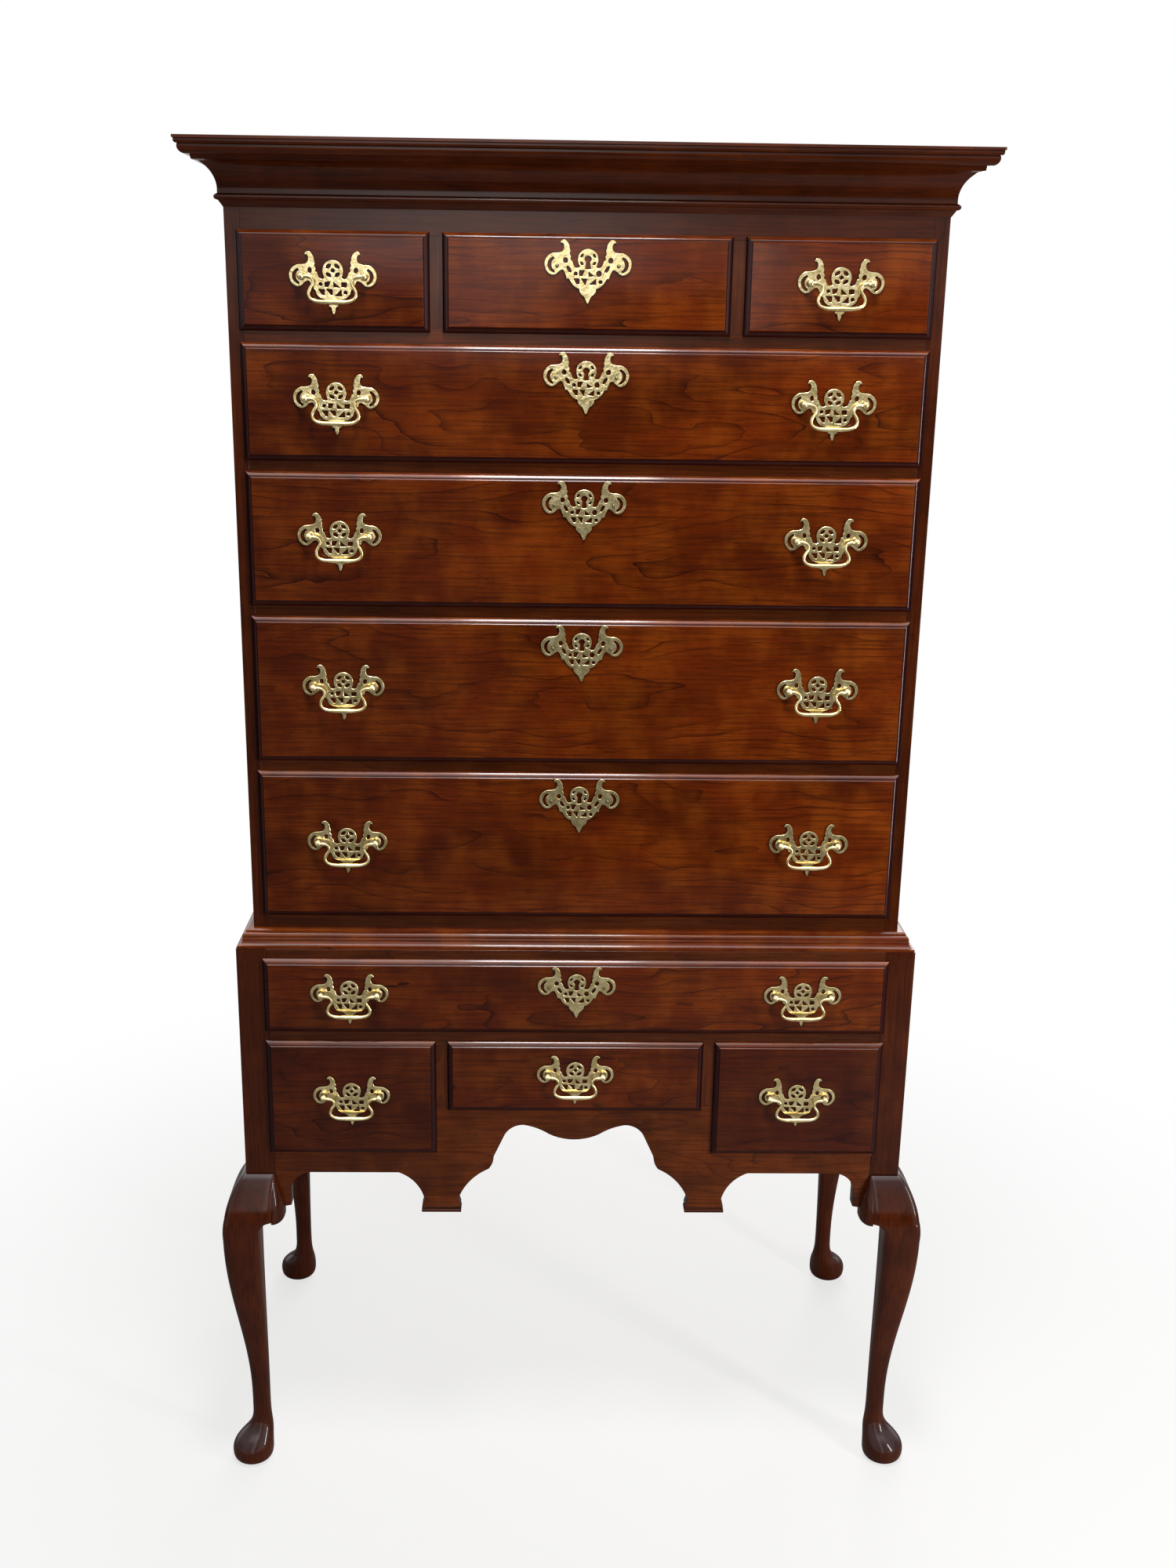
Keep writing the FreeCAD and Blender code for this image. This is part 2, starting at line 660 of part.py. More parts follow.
def drawer_openings():
    # Name, opening in X and Z, the planes of the case's front and back wall, and its brasses: a
    # pair of pulls with a key plate between, one pull in the middle, or a key plate alone.
    centre = (-half_centre, half_centre)
    upper_left, upper_right = (-inner_up, -divider_outer), (divider_outer, inner_up)
    lower_left, lower_right = (-inner_low, -divider_outer), (divider_outer, inner_low)
    row = {index: (row_bottom[index], row_top[index]) for index in row_bottom}
    upper_depth = (front_up, back - s.back_thick)
    lower_depth = (front_low, lower_back_front)
    yield "top_left", upper_left, row[1], upper_depth, "middle"
    yield "top_centre", centre, row[1], upper_depth, "key"
    yield "top_right", upper_right, row[1], upper_depth, "middle"
    for index, name in ((2, "second"), (3, "third"), (4, "fourth"), (5, "fifth")):
        yield name, (-inner_up, inner_up), row[index], upper_depth, "pair"
    yield "lower_long", (-inner_low, inner_low), (long_bottom, long_top), lower_depth, "pair"
    yield "lower_left", lower_left, (deep_bottom, small_top), lower_depth, "middle"
    yield "lower_centre", centre, (shallow_bottom, small_top), lower_depth, "middle"
    yield "lower_right", lower_right, (deep_bottom, small_top), lower_depth, "middle"


# ---------------------------------------------------------------- brasses
def ring(centre, radius, start, end, steps):
    # Points on a circle, from one angle to another, in degrees.
    points = []
    for step in range(steps + 1):
        angle = math.radians(start + (end - start) * step / steps)
        points.append((centre[0] + radius * math.cos(angle), centre[1] + radius * math.sin(angle)))
    return points


def plate_head():
    # The right half of either plate above its body: the ear round the post, the leaf horn that
    # springs from it, and the collar of the middle rosette. Heights are from the post line.
    pin = s.boring / 2
    return ring((pin, as_size(0)), s.ear_radius, -120, 60, 4) + [
        (pin - 4.6, 15), (pin - 5.1, 26), (pin - 9.1, 27.5), (pin - 14, 14)
        ] + ring((as_size(0), as_size(6)), s.rosette_radius, 15, 90, 2)


def pull_plate_half():
    # A pull's lower body: spike, lower edge and rounded shoulder.
    pin = s.boring / 2
    return [(0, -s.plate_drop), (3, -32), (pin - 16.1, -30), (pin - 11.5, -17)]


def key_plate_half():
    # A key plate's lower body: a shield drawn to a point.
    pin = s.boring / 2
    return [(0, -s.plate_drop), (10, -30), (pin - 15, -16)]


def plate(label, body_half):
    # A flat plate whose back lies in the XZ plane through the origin.
    half = body_half + plate_head()
    mirrored = [(-as_size(x), z) for x, z in reversed(half[1:-1])]
    return padded(label, "XZ_Plane", half + mirrored, s.plate_thick, (0, 0, 0))


def prism(label, radius, height, centre, turn):
    piece = doc.addObject("Part::Prism", label)
    piece.Polygon = 6
    bind(piece, "Circumradius", radius)
    bind(piece, "Height", height)
    piece.Placement = FreeCAD.Placement(Vector(), turn)
    return place(piece, centre)


def posts():
    # Two six-sided posts that stand out of the plate, each bored across for the bail's pin.
    forward = FreeCAD.Rotation(Vector(1, 0, 0), 90)
    along_x = FreeCAD.Rotation(Vector(0, 1, 0), 90)
    pieces = []
    for name, side in (("left", -1), ("right", 1)):
        x = s.boring / 2 * side
        stem = prism(f"post_stem_{name}", s.post_radius, s.post_reach, (x, -s.plate_thick, 0), forward)
        bore = prism(f"post_bore_{name}", bore_radius(), s.post_radius * 2,
                     (x - s.post_radius, pin_line(), 0), along_x)
        pieces.append(cut(f"post_{name}", stem, [bore]))
    return pieces


def pin_line():
    # The bail's axis in front of the drawer's face.
    return -s.plate_thick - s.post_reach + s.pin_inset


def bore_radius():
    # Circumradius of the six-sided bore whose flats clear the corners of the bail's bar.
    return (s.bail_radius + s.pin_gap) / math.cos(math.pi / 6)


def bail():
    # A six-sided bar along its path: from the pin in one post inwards, round a swan neck, down,
    # and across under the plate to the other post.
    pin = s.boring / 2
    half = [(pin + 1.5, 0), (pin - 9, 0), (pin - 12.8, -4.5), (pin - 10.2, -13),
            (pin - 10.2, -22), (pin - 13.5, -28.5), (pin - 20.5, -s.bail_drop)]
    path = half + [(-x, z) for x, z in reversed(half)]
    body = doc.addObject("PartDesign::Body", "bail")
    spine = body.newObject("Sketcher::SketchObject", "bail_path")
    spine.AttachmentSupport = (plane_of(body, "XZ_Plane"), [""])
    spine.MapMode = "FlatFace"
    draw(spine, path, closed=False)
    section = body.newObject("Sketcher::SketchObject", "bail_section")
    section.AttachmentSupport = (plane_of(body, "YZ_Plane"), [""])
    section.MapMode = "FlatFace"
    bind(section, ".AttachmentOffset.Base.z", pin + 1.5)
    draw(section, ring((as_size(0), as_size(0)), s.bail_radius, 0, 300, 5))
    doc.recompute()
    pipe = body.newObject("PartDesign::AdditivePipe", "bail_bar")
    pipe.Profile = section
    pipe.Spine = (spine, [f"Edge{index}" for index in range(1, len(path))])
    pipe.Transition = "Right corner"
    return body


def moved(label, source, spot):
    piece = group(label, [source])
    return place(piece, spot)


def brasses():
    pull = group("pull", [plate("pull_plate", pull_plate_half())] + posts())
    key_plate = plate("key_plate", key_plate_half())
    handle = bail()
    for name, x_range, z_range, (y_front, y_wall), kind in drawer_openings():
        keep(drawer("drawer_" + name, x_range, z_range, y_front, y_wall))
        face = y_front - s.lip_gap - s.lip_thick - s.field_raise
        middle = (x_range[0] + x_range[1]) / 2
        line = (z_range[0] + z_range[1]) / 2 + s.pull_lift
        key_line = z_range[1] + s.lip_overlap - s.key_drop
        spots = {"middle": [("", middle)], "key": [],
                 "pair": [("_left", -s.pull_spread / 2), ("_right", s.pull_spread / 2)]}[kind]
        fittings = [moved(f"pull_{name}{side}", pull, (x, face, line)) for side, x in spots]
        if kind != "middle":
            fittings.append(moved(f"key_plate_{name}", key_plate, (middle, face, key_line)))
        keep(group("brasses_" + name, fittings))
        for side, x in spots:
            keep(moved(f"bail_{name}{side}", handle, (x, face + pin_line(), line)))


# ---------------------------------------------------------------- build, check and write
legs()
lower_case()
upper_case()
brasses()
doc.recompute()

for piece in doc.Objects:
    if "Invalid" in piece.State or "Error" in piece.State:
        raise SystemExit(f"{piece.Name} failed: {piece.State}")
os.makedirs("parts", exist_ok=True)
for piece in parts:
    if piece.Shape.isNull() or not piece.Shape.isValid():
        raise SystemExit(f"{piece.Label} has no valid shape")
    if not piece.Shape.Solids:
        raise SystemExit(f"{piece.Label} holds no solid")
for piece in parts:
    piece.Shape.exportStep(f"parts/{piece.Label}.step")
print(len(parts), "nodes written")
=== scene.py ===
import math

import bpy
import numpy as np
from mathutils import Matrix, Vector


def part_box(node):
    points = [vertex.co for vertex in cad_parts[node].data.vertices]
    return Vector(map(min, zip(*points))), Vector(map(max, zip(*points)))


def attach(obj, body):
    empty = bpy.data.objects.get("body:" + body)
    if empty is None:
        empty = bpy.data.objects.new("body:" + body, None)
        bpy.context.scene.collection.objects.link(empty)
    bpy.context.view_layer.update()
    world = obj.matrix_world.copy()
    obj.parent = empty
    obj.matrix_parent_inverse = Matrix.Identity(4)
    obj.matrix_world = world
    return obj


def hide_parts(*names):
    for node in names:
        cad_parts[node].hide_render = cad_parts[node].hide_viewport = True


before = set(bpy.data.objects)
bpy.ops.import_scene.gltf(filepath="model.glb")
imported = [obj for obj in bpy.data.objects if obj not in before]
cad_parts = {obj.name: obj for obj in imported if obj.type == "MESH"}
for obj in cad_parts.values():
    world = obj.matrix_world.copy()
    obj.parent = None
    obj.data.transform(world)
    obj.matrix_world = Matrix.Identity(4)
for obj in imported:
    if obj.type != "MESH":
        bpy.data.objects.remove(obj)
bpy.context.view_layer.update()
draws = np.random.default_rng(11)   # every board draws its own place in the tree from here
print("frame loaded:", len(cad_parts), "nodes")


# Lengths are in millimetres until a mesh is made.
def placeOf(node):
    # Lowest and highest corner of a node of the frame.
    low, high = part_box(node)
    return np.array(low) * 1000, np.array(high) * 1000


def addNode(tree, kind, settings=None, inputs=None):
    # One shader node. Settings are its properties, or one word for its operation; inputs are values,
    # sockets, or whole nodes, whose first live output is then taken.
    node = tree.nodes.new("ShaderNode" + kind)
    if isinstance(settings, str):
        settings = {"operation": settings}
    for name, value in (settings or {}).items():
        setattr(node, name, value)
    for name, value in (inputs or {}).items():
        if isinstance(value, bpy.types.Node):
            value = next(socket for socket in value.outputs if socket.enabled)
        if isinstance(value, bpy.types.NodeSocket):
            tree.links.new(value, node.inputs[name])
        else:
            node.inputs[name].default_value = value
    return node


def tone(hexText):
    # sRGB to linear: value / 12.92 where dark, else ((value + 0.055) / 1.055) to the power 2.4.
    value = np.array([int(hexText[at:at + 2], 16) for at in (1, 3, 5)]) / 255
    linear = np.where(value <= 0.04045, value / 12.92, ((value + 0.055) / 1.055) ** 2.4)
    return (*linear.tolist(), 1.0)


# settings that many nodes share
eased = {"interpolation_type": "SMOOTHSTEP"}
colours = {"data_type": "RGBA"}


def newMaterial(name):
    # A material with no nodes yet, and its node tree.
    material = bpy.data.materials.new(name)
    material.use_nodes = True
    material.node_tree.nodes.clear()
    return material, material.node_tree


# Black cherry, plain sawn, stained red brown under a rubbed lacquer: thin dark growth lines that
# close into pointed ovals, fine flecks along the grain, soft bands across it, and end grain that
# drinks the stain and turns dark.
def woodMaterial(name, recipe, direction=None):
    material, tree = newMaterial(name)
    if direction is None:
        place = addNode(tree, "Attribute", {"attribute_name": "grain"}).outputs["Vector"]
        run = addNode(tree, "Attribute", {"attribute_name": "run"}).outputs["Vector"]
    else:
        # a board of the frame itself: object coordinates in mm, turned so that x runs with the grain
        turn = {"x": (0, 0, 0), "y": (0, 0, -math.pi / 2), "z": (0, math.pi / 2, 0)}[direction]
        spot = addNode(tree, "TexCoord").outputs["Object"]
        place = addNode(tree, "Mapping", {}, {
            "Vector": spot, "Rotation": turn, "Scale": (1000, 1000, 1000)})
        run = [float(direction == axis) for axis in "xyz"]

    # soft noises, each stretched to patches of its own size
    noise = {}
    for part, detail in (("bend", 2.0), ("wobble", 2.0), ("fade", 1.0), ("fibre", 3.0), ("fleck", 2.0),
                         ("mottle", 2.0), ("drift", 2.0)):
        stretched = addNode(tree, "VectorMath", "DIVIDE", {0: place, 1: recipe[part + "Size"]})
        noise[part] = addNode(tree, "TexNoise", {}, {"Vector": stretched, "Scale": 1.0, "Detail": detail})
    share = {}
    for part, low, high, most in (("drift", 0.3, 0.7, 1.0), ("mottle", 0.35, 0.75, recipe["mottle"]),
                                  ("fibre", 0.38, 0.68, recipe["fibre"]), ("fade", 0.3, 0.6, 1.0),
                                  ("fleck", 0.58, 0.74, recipe["fleck"])):
        share[part] = addNode(tree, "MapRange", eased, {
            "Value": noise[part], "From Min": low, "From Max": high, "To Max": most})

    # the distance from the pith, bent by slow noise and counted in rings, makes the growth lines
    wander = addNode(tree, "VectorMath", "SUBTRACT", {
        0: noise["bend"].outputs["Color"], 1: (0.5, 0.5, 0.5)})
    bent = addNode(tree, "VectorMath", "MULTIPLY_ADD", {
        0: wander, 1: (0, recipe["sway"], recipe["rise"]), 2: place})
    crossed = addNode(tree, "VectorMath", "MULTIPLY", {
        0: bent, 1: (0, 1 / recipe["ring"], 1 / recipe["ring"])})
    pith = addNode(tree, "VectorMath", "LENGTH", {0: crossed}).outputs["Value"]
    rings = addNode(tree, "Math", "MULTIPLY_ADD", {0: noise["wobble"], 1: recipe["wobble"], 2: pith})
    growth = addNode(tree, "Math", "FRACT", {0: rings})
    count = addNode(tree, "Math", "FLOOR", {0: rings})
    year = addNode(tree, "TexWhiteNoise", {"noise_dimensions": "1D"}, {"W": count}).outputs["Value"]
    lateWood = addNode(tree, "Math", "POWER", {0: growth, 1: recipe["lineSharpness"]})
    strength = addNode(tree, "Math", "MULTIPLY_ADD", {
        0: year, 1: 0.75 * recipe["lineDepth"], 2: 0.25 * recipe["lineDepth"]})
    drawn = addNode(tree, "Math", "MULTIPLY", {0: lateWood, 1: strength})
    share["line"] = addNode(tree, "Math", "MULTIPLY", {0: drawn, 1: share["fade"]})
    share["early"] = addNode(tree, "Math", "MULTIPLY", {0: growth, 1: recipe["earlyWood"]})

    # end grain shows where the surface faces along the grain
    facing = addNode(tree, "TexCoord").outputs["Normal"]
    along = addNode(tree, "VectorMath", "DOT_PRODUCT", {0: facing, 1: run}).outputs["Value"]
    either = addNode(tree, "Math", "ABSOLUTE", {0: along})
    share["end"] = addNode(tree, "MapRange", eased, {
        "Value": either, "From Min": 0.2, "From Max": 0.75, "To Max": recipe["endStain"]})
    # darker toner on the side lips of the drawer fronts, and painted shade on their bottom lips, in their
    # quirks and across their fields
    toned = addNode(tree, "Attribute", {"attribute_name": "toned"}).outputs["Fac"]
    share["toned"] = addNode(tree, "Math", "MULTIPLY", {0: toned, 1: recipe["tonerAndShadeDepth"]})

    # the stains, and the painted shade in the end-grain colour, go over each other in this order
    colour = tone(recipe["deep"])
    for part, shade in (("drift", "warm"), ("mottle", "bright"), ("fibre", "line"), ("early", "line"),
                        ("line", "line"), ("fleck", "line"), ("end", "end"), ("toned", "end")):
        colour = addNode(tree, "Mix", colours, {0: share[part], 6: colour, 7: tone(recipe[shade])})

    height = addNode(tree, "Math", "MULTIPLY_ADD", {0: share["fleck"], 1: -0.5, 2: noise["fibre"]})
    bump = addNode(tree, "Bump", {}, {
        "Strength": recipe["relief"], "Distance": recipe["pore"], "Height": height})
    rough = addNode(tree, "Math", "MULTIPLY_ADD", {
        0: noise["fibre"], 1: recipe["uneven"], 2: recipe["rough"] - recipe["uneven"] / 2})
    shader = addNode(tree, "BsdfPrincipled", {}, {
        "Base Color": colour, "Roughness": rough, "Normal": bump, "IOR": 1.5,
        "Specular IOR Level": recipe["shine"], "Coat Weight": recipe["coat"],
        "Coat Roughness": recipe["coatRough"], "Coat IOR": 1.5})
    addNode(tree, "OutputMaterial", {}, {0: shader})
    return material


# Sizes are in mm along, across and into the board; the flecks of real cherry are finer than these,
# which are as coarse as they need to be to show.
cherry = {"deep": "#4b1902", "warm": "#642404", "bright": "#9c4e10", "line": "#180502", "end": "#1e0406",
          "bendSize": (300, 90, 90), "sway": 60, "rise": 120,
          "wobbleSize": (60, 14, 14), "wobble": 0.5,
          "ring": 12.0, "lineSharpness": 9.0, "lineDepth": 1.0, "earlyWood": 0.07,
          "fadeSize": (150, 50, 50), "driftSize": (200, 80, 80),
          "mottleSize": (45, 60, 60), "mottle": 0.3,
          "fibreSize": (75, 2.6, 2.6), "fibre": 0.42,
          "fleckSize": (9, 1.7, 1.7), "fleck": 0.4,
          "endStain": 0.9, "tonerAndShadeDepth": 0.85, "relief": 0.1, "pore": 0.00015,
          "rough": 0.45, "uneven": 0.12, "shine": 0.02, "coat": 0.4, "coatRough": 0.1}
# the case stands in straighter, quieter boards
caseRecipe = dict(cherry, deep="#381303", warm="#481b05", bright="#662d0d", lineDepth=0.5, fleck=0.3,
                  mottle=0.2)
railRecipe = dict(caseRecipe, deep="#401b06", warm="#54240a", bright="#743a16")
apronRecipe = dict(cherry, deep="#4a1d04", warm="#5e2808", bright="#844012", ring=9.0, lineDepth=0.7)
# Secondary wood, hidden in use: yellow poplar planed and left bare, pale tan, matt, faint rings.
poplar = dict(cherry, deep="#b08a58", warm="#c39f6b", bright="#d2b283", line="#8b6436", end="#96713f",
              lineDepth=0.5, fleck=0.16, fibre=0.2, mottle=0.1, relief=0.25, rough=0.62, shine=0.3,
              coat=0.0)
drawerCherry = woodMaterial("drawerCherryLacquered", cherry)
caseCherry = woodMaterial("caseCherryLacquered", caseRecipe)
railCherry = woodMaterial("railCherryLacquered", railRecipe)
apronCherry = woodMaterial("apronCherryLacquered", apronRecipe)
bareWood = woodMaterial("poplarPlaned", poplar)
print("wood finishes made")


# Cast yellow brass, polished and lacquered: bright pale gold on the faces, a soft bloom of old lacquer,
# and brown tarnish where the rag never reaches, at the feet of the edges. Sizes are in mm.
brassRecipe = {"dull": "#c9b57e", "bright": "#ebdba9", "tarnish": "#2c1c0a", "metallic": 0.8,
               "cloudSize": 9, "rippleSize": 5, "clouding": 0.25, "rough": 0.1, "cloudRough": 0.16,
               "tarnishRough": 0.35, "relief": 0.5, "dent": 0.0004}


def brassMaterial():
    # A cloud noise goes between dull and bright metal; the cloud and the tarnish together turn it
    # brown, and both make it rougher.
    recipe = brassRecipe
    material, tree = newMaterial("brassPolished")
    tarnish = addNode(tree, "Attribute", {"attribute_name": "tarnish"}).outputs["Fac"]
    spot = addNode(tree, "TexCoord").outputs["Object"]
    noise = {}
    for part, detail in (("cloud", 3.0), ("ripple", 1.0)):
        scaled = addNode(tree, "VectorMath", "SCALE", {0: spot, "Scale": 1000 / recipe[part + "Size"]})
        noise[part] = addNode(tree, "TexNoise", {}, {"Vector": scaled, "Scale": 1.0, "Detail": detail})
    polish = addNode(tree, "MapRange", eased, {
        "Value": noise["cloud"], "From Min": 0.35, "From Max": 0.7})
    metal = addNode(tree, "Mix", colours, {0: polish, 6: tone(recipe["dull"]), 7: tone(recipe["bright"])})
    dulled = addNode(tree, "Math", {"operation": "MULTIPLY_ADD", "use_clamp": True}, {
        0: noise["cloud"], 1: recipe["clouding"], 2: tarnish})
    worn = addNode(tree, "MapRange", eased, {"Value": dulled, "From Min": 0.25, "From Max": 0.9})
    colour = addNode(tree, "Mix", colours, {0: worn, 6: metal, 7: tone(recipe["tarnish"])})
    clean = addNode(tree, "Math", "MULTIPLY_ADD", {
        0: noise["cloud"], 1: recipe["cloudRough"], 2: recipe["rough"]})
    rough = addNode(tree, "Math", "MULTIPLY_ADD", {0: tarnish, 1: recipe["tarnishRough"], 2: clean})
    bump = addNode(tree, "Bump", {}, {
        "Strength": recipe["relief"], "Distance": recipe["dent"], "Height": noise["ripple"]})
    shader = addNode(tree, "BsdfPrincipled", {}, {
        "Base Color": colour, "Metallic": recipe["metallic"], "Roughness": rough, "Normal": bump})
    addNode(tree, "OutputMaterial", {}, {0: shader})
    return material


brass = brassMaterial()
print("brass made")


# A part is its points in mm, its faces, and the values that its finish reads: where each point lies
# in its board (mm along the grain, across it, and from the pith) and which way the grain runs.
def ownPlace():
    return np.array([draws.uniform(-3000, 3000), draws.uniform(-28, 28), draws.uniform(38, 80)])


def boardGrain(points, axes, centre=None, own=None):
    # The point's distances from the board's middle in the order of axes, moved to the board's own
    # place in the tree; the grain runs along the first axis.
    order = ["xyz".index(axis) for axis in axes]
    middle = (points.min(0) + points.max(0)) / 2 if centre is None else centre
    run = np.zeros_like(points)
    run[:, order[0]] = 1
    return {"grain": (points - middle)[:, order] + (ownPlace() if own is None else own), "run": run}


def surface(grid, wrap=False, caps=False):
    # Faces between neighbours of a grid of points; wrap joins the last column to the first, and
    # caps close the first and the last row.
    rows, columns = grid.shape[:2]
    index = np.arange(rows * columns).reshape(rows, columns)
    joined = np.hstack([index, index[:, :1]]) if wrap else index
    quads = np.stack([joined[:-1, :-1], joined[:-1, 1:], joined[1:, 1:], joined[1:, :-1]], -1)
    faces = quads.reshape(-1, 4).tolist()
    if caps:
        faces += [index[0, ::-1].tolist(), index[-1].tolist()]
    return grid.reshape(-1, 3).astype(float), faces


def turnOut(points, faces):
    # The volume under all faces, a sixth of the sum of a . (b x c), is positive when they face out.
    corners = np.array([(face[0], face[at], face[at + 1])
                        for face in faces for at in range(1, len(face) - 1)])
    a, b, c = points[corners[:, 0]], points[corners[:, 1]], points[corners[:, 2]]
    volume = np.einsum("ij,ij->i", a, np.cross(b, c)).sum()
    return faces if volume > 0 else [face[::-1] for face in faces]


def wooden(shape, axes, centre=None, own=None):
    # A wooden part: a shape with its faces turned out, and its own place in a board.
    points, faces = shape
    return points, turnOut(points, faces), boardGrain(points, axes, centre, own)


def makePiece(name, parts, material, body, replaced=(), ease=0.0, smooth=35):
    # One object from its parts; ease rounds its sharp edges by that many mm, and faces that meet at
    # less than smooth degrees are shaded as one.
    points = np.vstack([part[0] for part in parts])
    starts = np.cumsum([0] + [len(part[0]) for part in parts[:-1]])
    faces = [[index + start for index in face] for part, start in zip(parts, starts) for face in part[1]]
    mesh = bpy.data.meshes.new(name)
    mesh.from_pydata((points / 1000).tolist(), [], faces)
    for key in parts[0][2]:
        kept = np.concatenate([part[2][key] for part in parts]).astype(np.float32)
        layer = mesh.attributes.new(key, "FLOAT_VECTOR" if kept.ndim == 2 else "FLOAT", "POINT")
        layer.data.foreach_set("vector" if kept.ndim == 2 else "value", kept.ravel())
    mesh.shade_smooth()
    mesh.set_sharp_from_angle(angle=math.radians(smooth))
    mesh.materials.append(material)
    piece = bpy.data.objects.new(name, mesh)
    bpy.context.scene.collection.objects.link(piece)
    if ease:
        bevel = piece.modifiers.new("ease", "BEVEL")
        bevel.width = ease / 1000
        bevel.segments = 2
        bevel.limit_method = "ANGLE"
        bevel.angle_limit = math.radians(35)
        bevel.harden_normals = True
    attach(piece, body)
    if replaced:
        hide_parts(*replaced)


def board(low, high, axes):
    # A board between two corners, its grain along the first of its axes.
    (x0, y0, z0), (x1, y1, z1) = low, high
    loop = np.array([(x0, y0), (x1, y0), (x1, y1), (x0, y1)])
    grid = np.array([[(x, y, z) for x, y in loop] for z in (z0, z1)])
    return wooden(surface(grid, wrap=True, caps=True), axes)


def arc(start, via, end, steps=10):
    # Points on the circle through three points, from the first to just before the last.
    (ax, ay), (bx, by), (cx, cy) = start, via, end
    double = 2 * (ax * (by - cy) + bx * (cy - ay) + cx * (ay - by))
    squares = [x * x + y * y for x, y in (start, via, end)]
    centreX = (squares[0] * (by - cy) + squares[1] * (cy - ay) + squares[2] * (ay - by)) / double
    centreY = (squares[0] * (cx - bx) + squares[1] * (ax - cx) + squares[2] * (bx - ax)) / double
    first, middle, last = [math.atan2(y - centreY, x - centreX) for x, y in (start, via, end)]
    turn = (last - first) % (2 * math.pi)
    if (middle - first) % (2 * math.pi) > turn:
        turn -= 2 * math.pi
    angles = first + turn * np.arange(steps) / steps
    radius = math.hypot(ax - centreX, ay - centreY)
    return np.stack([centreX + radius * np.cos(angles), centreY + radius * np.sin(angles)], -1)


def outline(entries, steps=10):
    # Corner points, and arcs where an entry also names a point that the arc passes through.
    pieces = []
    for at, entry in enumerate(entries):
        start = np.array(entries[at - 1][:2], float)
        if len(entry) == 4:
            pieces.append(arc(start, entry[2:], entry[:2], steps)[1:])
        pieces.append(np.array([entry[:2]], float))
    return np.vstack(pieces)


def smoothLine(knots, steps=6, closed=True):
    # A line through knots: between knots p and q with slopes m and n it is the cubic
    # (2t^3-3t^2+1)p + (t^3-2t^2+t)m + (3t^2-2t^3)q + (t^3-t^2)n. A slope runs parallel to the
    # line between a knot's neighbours; where a knot has a third value it is a corner.
    spots = np.array([knot[:2] for knot in knots], float)
    corner = np.array([len(knot) == 3 for knot in knots])
    ahead, behind = np.roll(spots, -1, 0), np.roll(spots, 1, 0)
    if not closed:
        corner[[0, -1]] = True
    span = ahead - spots
    length = np.linalg.norm(span, axis=1, keepdims=True)
    direction = (ahead - behind) / np.maximum(np.linalg.norm(ahead - behind, axis=1, keepdims=True), 1e-9)
    leave = np.where(corner[:, None], span, direction * length)
    arrive = np.where(np.roll(corner, -1)[:, None], span, np.roll(direction, -1, 0) * length)
    t = (np.arange(steps) / steps)[None, :, None]
    line = ((2 * t ** 3 - 3 * t ** 2 + 1) * spots[:, None] + (t ** 3 - 2 * t ** 2 + t) * leave[:, None]
            + (3 * t ** 2 - 2 * t ** 3) * ahead[:, None] + (t ** 3 - t ** 2) * arrive[:, None])
    if closed:
        return line.reshape(-1, 2)
    return np.vstack([line[:-1].reshape(-1, 2), spots[-1:]])


def sawnShape(outlines, thick, ease, rounds=2, rise=None):
    # A flat shape with holes, sawn from a sheet that lies from z = 0 to thick. Its edges are eased over
    # the width of ease; with a rise the easing is squashed to that height.
    rise = ease if rise is None else rise
    curve = bpy.data.curves.new("sawn", "CURVE")
    curve.dimensions = "2D"
    curve.fill_mode = "BOTH"
    curve.extrude = thick / 2 - rise
    curve.bevel_depth = ease
    curve.bevel_resolution = rounds
    curve.offset = -ease
    for line in outlines:
        spline = curve.splines.new("POLY")
        spline.points.add(len(line) - 1)
        flat = np.hstack([line, np.zeros((len(line), 1)), np.ones((len(line), 1))])
        spline.points.foreach_set("co", flat.ravel())
        spline.use_cyclic_u = True
    holder = bpy.data.objects.new("sawn", curve)
    bpy.context.scene.collection.objects.link(holder)
    bpy.context.view_layer.update()
    mesh = bpy.data.meshes.new_from_object(holder.evaluated_get(bpy.context.evaluated_depsgraph_get()))
    points = np.zeros(len(mesh.vertices) * 3)
    mesh.vertices.foreach_get("co", points)
    points = points.reshape(-1, 3)
    faces = [list(polygon.vertices) for polygon in mesh.polygons]
    bpy.data.objects.remove(holder)
    bpy.data.meshes.remove(mesh)
    # the faces and the edge come apart, so points that share a place become one
    keys, index = np.unique(np.round(points, 3), axis=0, return_inverse=True)
    index = index.ravel()
    depth = np.abs(keys[:, 2])
    straight = thick / 2 - rise
    squashed = np.minimum(depth, straight) + np.maximum(depth - straight, 0) * rise / ease
    keys[:, 2] = np.sign(keys[:, 2]) * squashed
    faces = [[int(index[corner]) for corner in face] for face in faces]
    faces = [face for face in faces if len(set(face)) == len(face)]
    return keys + [0, 0, thick / 2], faces


def standing(shape, plane, at):
    # Stands a sawn shape up: "xz" faces the front with its back at y = at, "yz" faces +X from x = at.
    points, faces = shape
    a, b, c = points.T
    if plane == "xz":
        return np.stack([a, at - c, b], -1), faces
    return np.stack([at + c, a, b], -1), faces


print("workshop ready")


# Cabriole legs: heights from the floor; the posts' outer corners stand halfWide and halfDeep from the
# middle. Sections are ring after ring, closer together where the leg turns quickly.
legSizes = {"post": 41, "halfWide": 462, "halfDeep": 229, "kneeTop": 464, "kneeRise": 3, "kneeOut": 32.8,
            "calf": 372, "shinIn": 19.6, "ankle": 98, "ankleOut": 5.8, "footRadius": 29.7,
            "footOffset": 5.8, "footHeight": 17, "footBase": 22, "coveFoot": 381, "cove": 20,
            "rings": ((0, 17, 12), (19, 98, 34), (104, 372, 40), (374, 403, 20), (406, 464, 24)),
            "around": 72, "crowding": 0.14, "postPower": 40, "kneePower": 0.75, "bellyPower": 2.6}
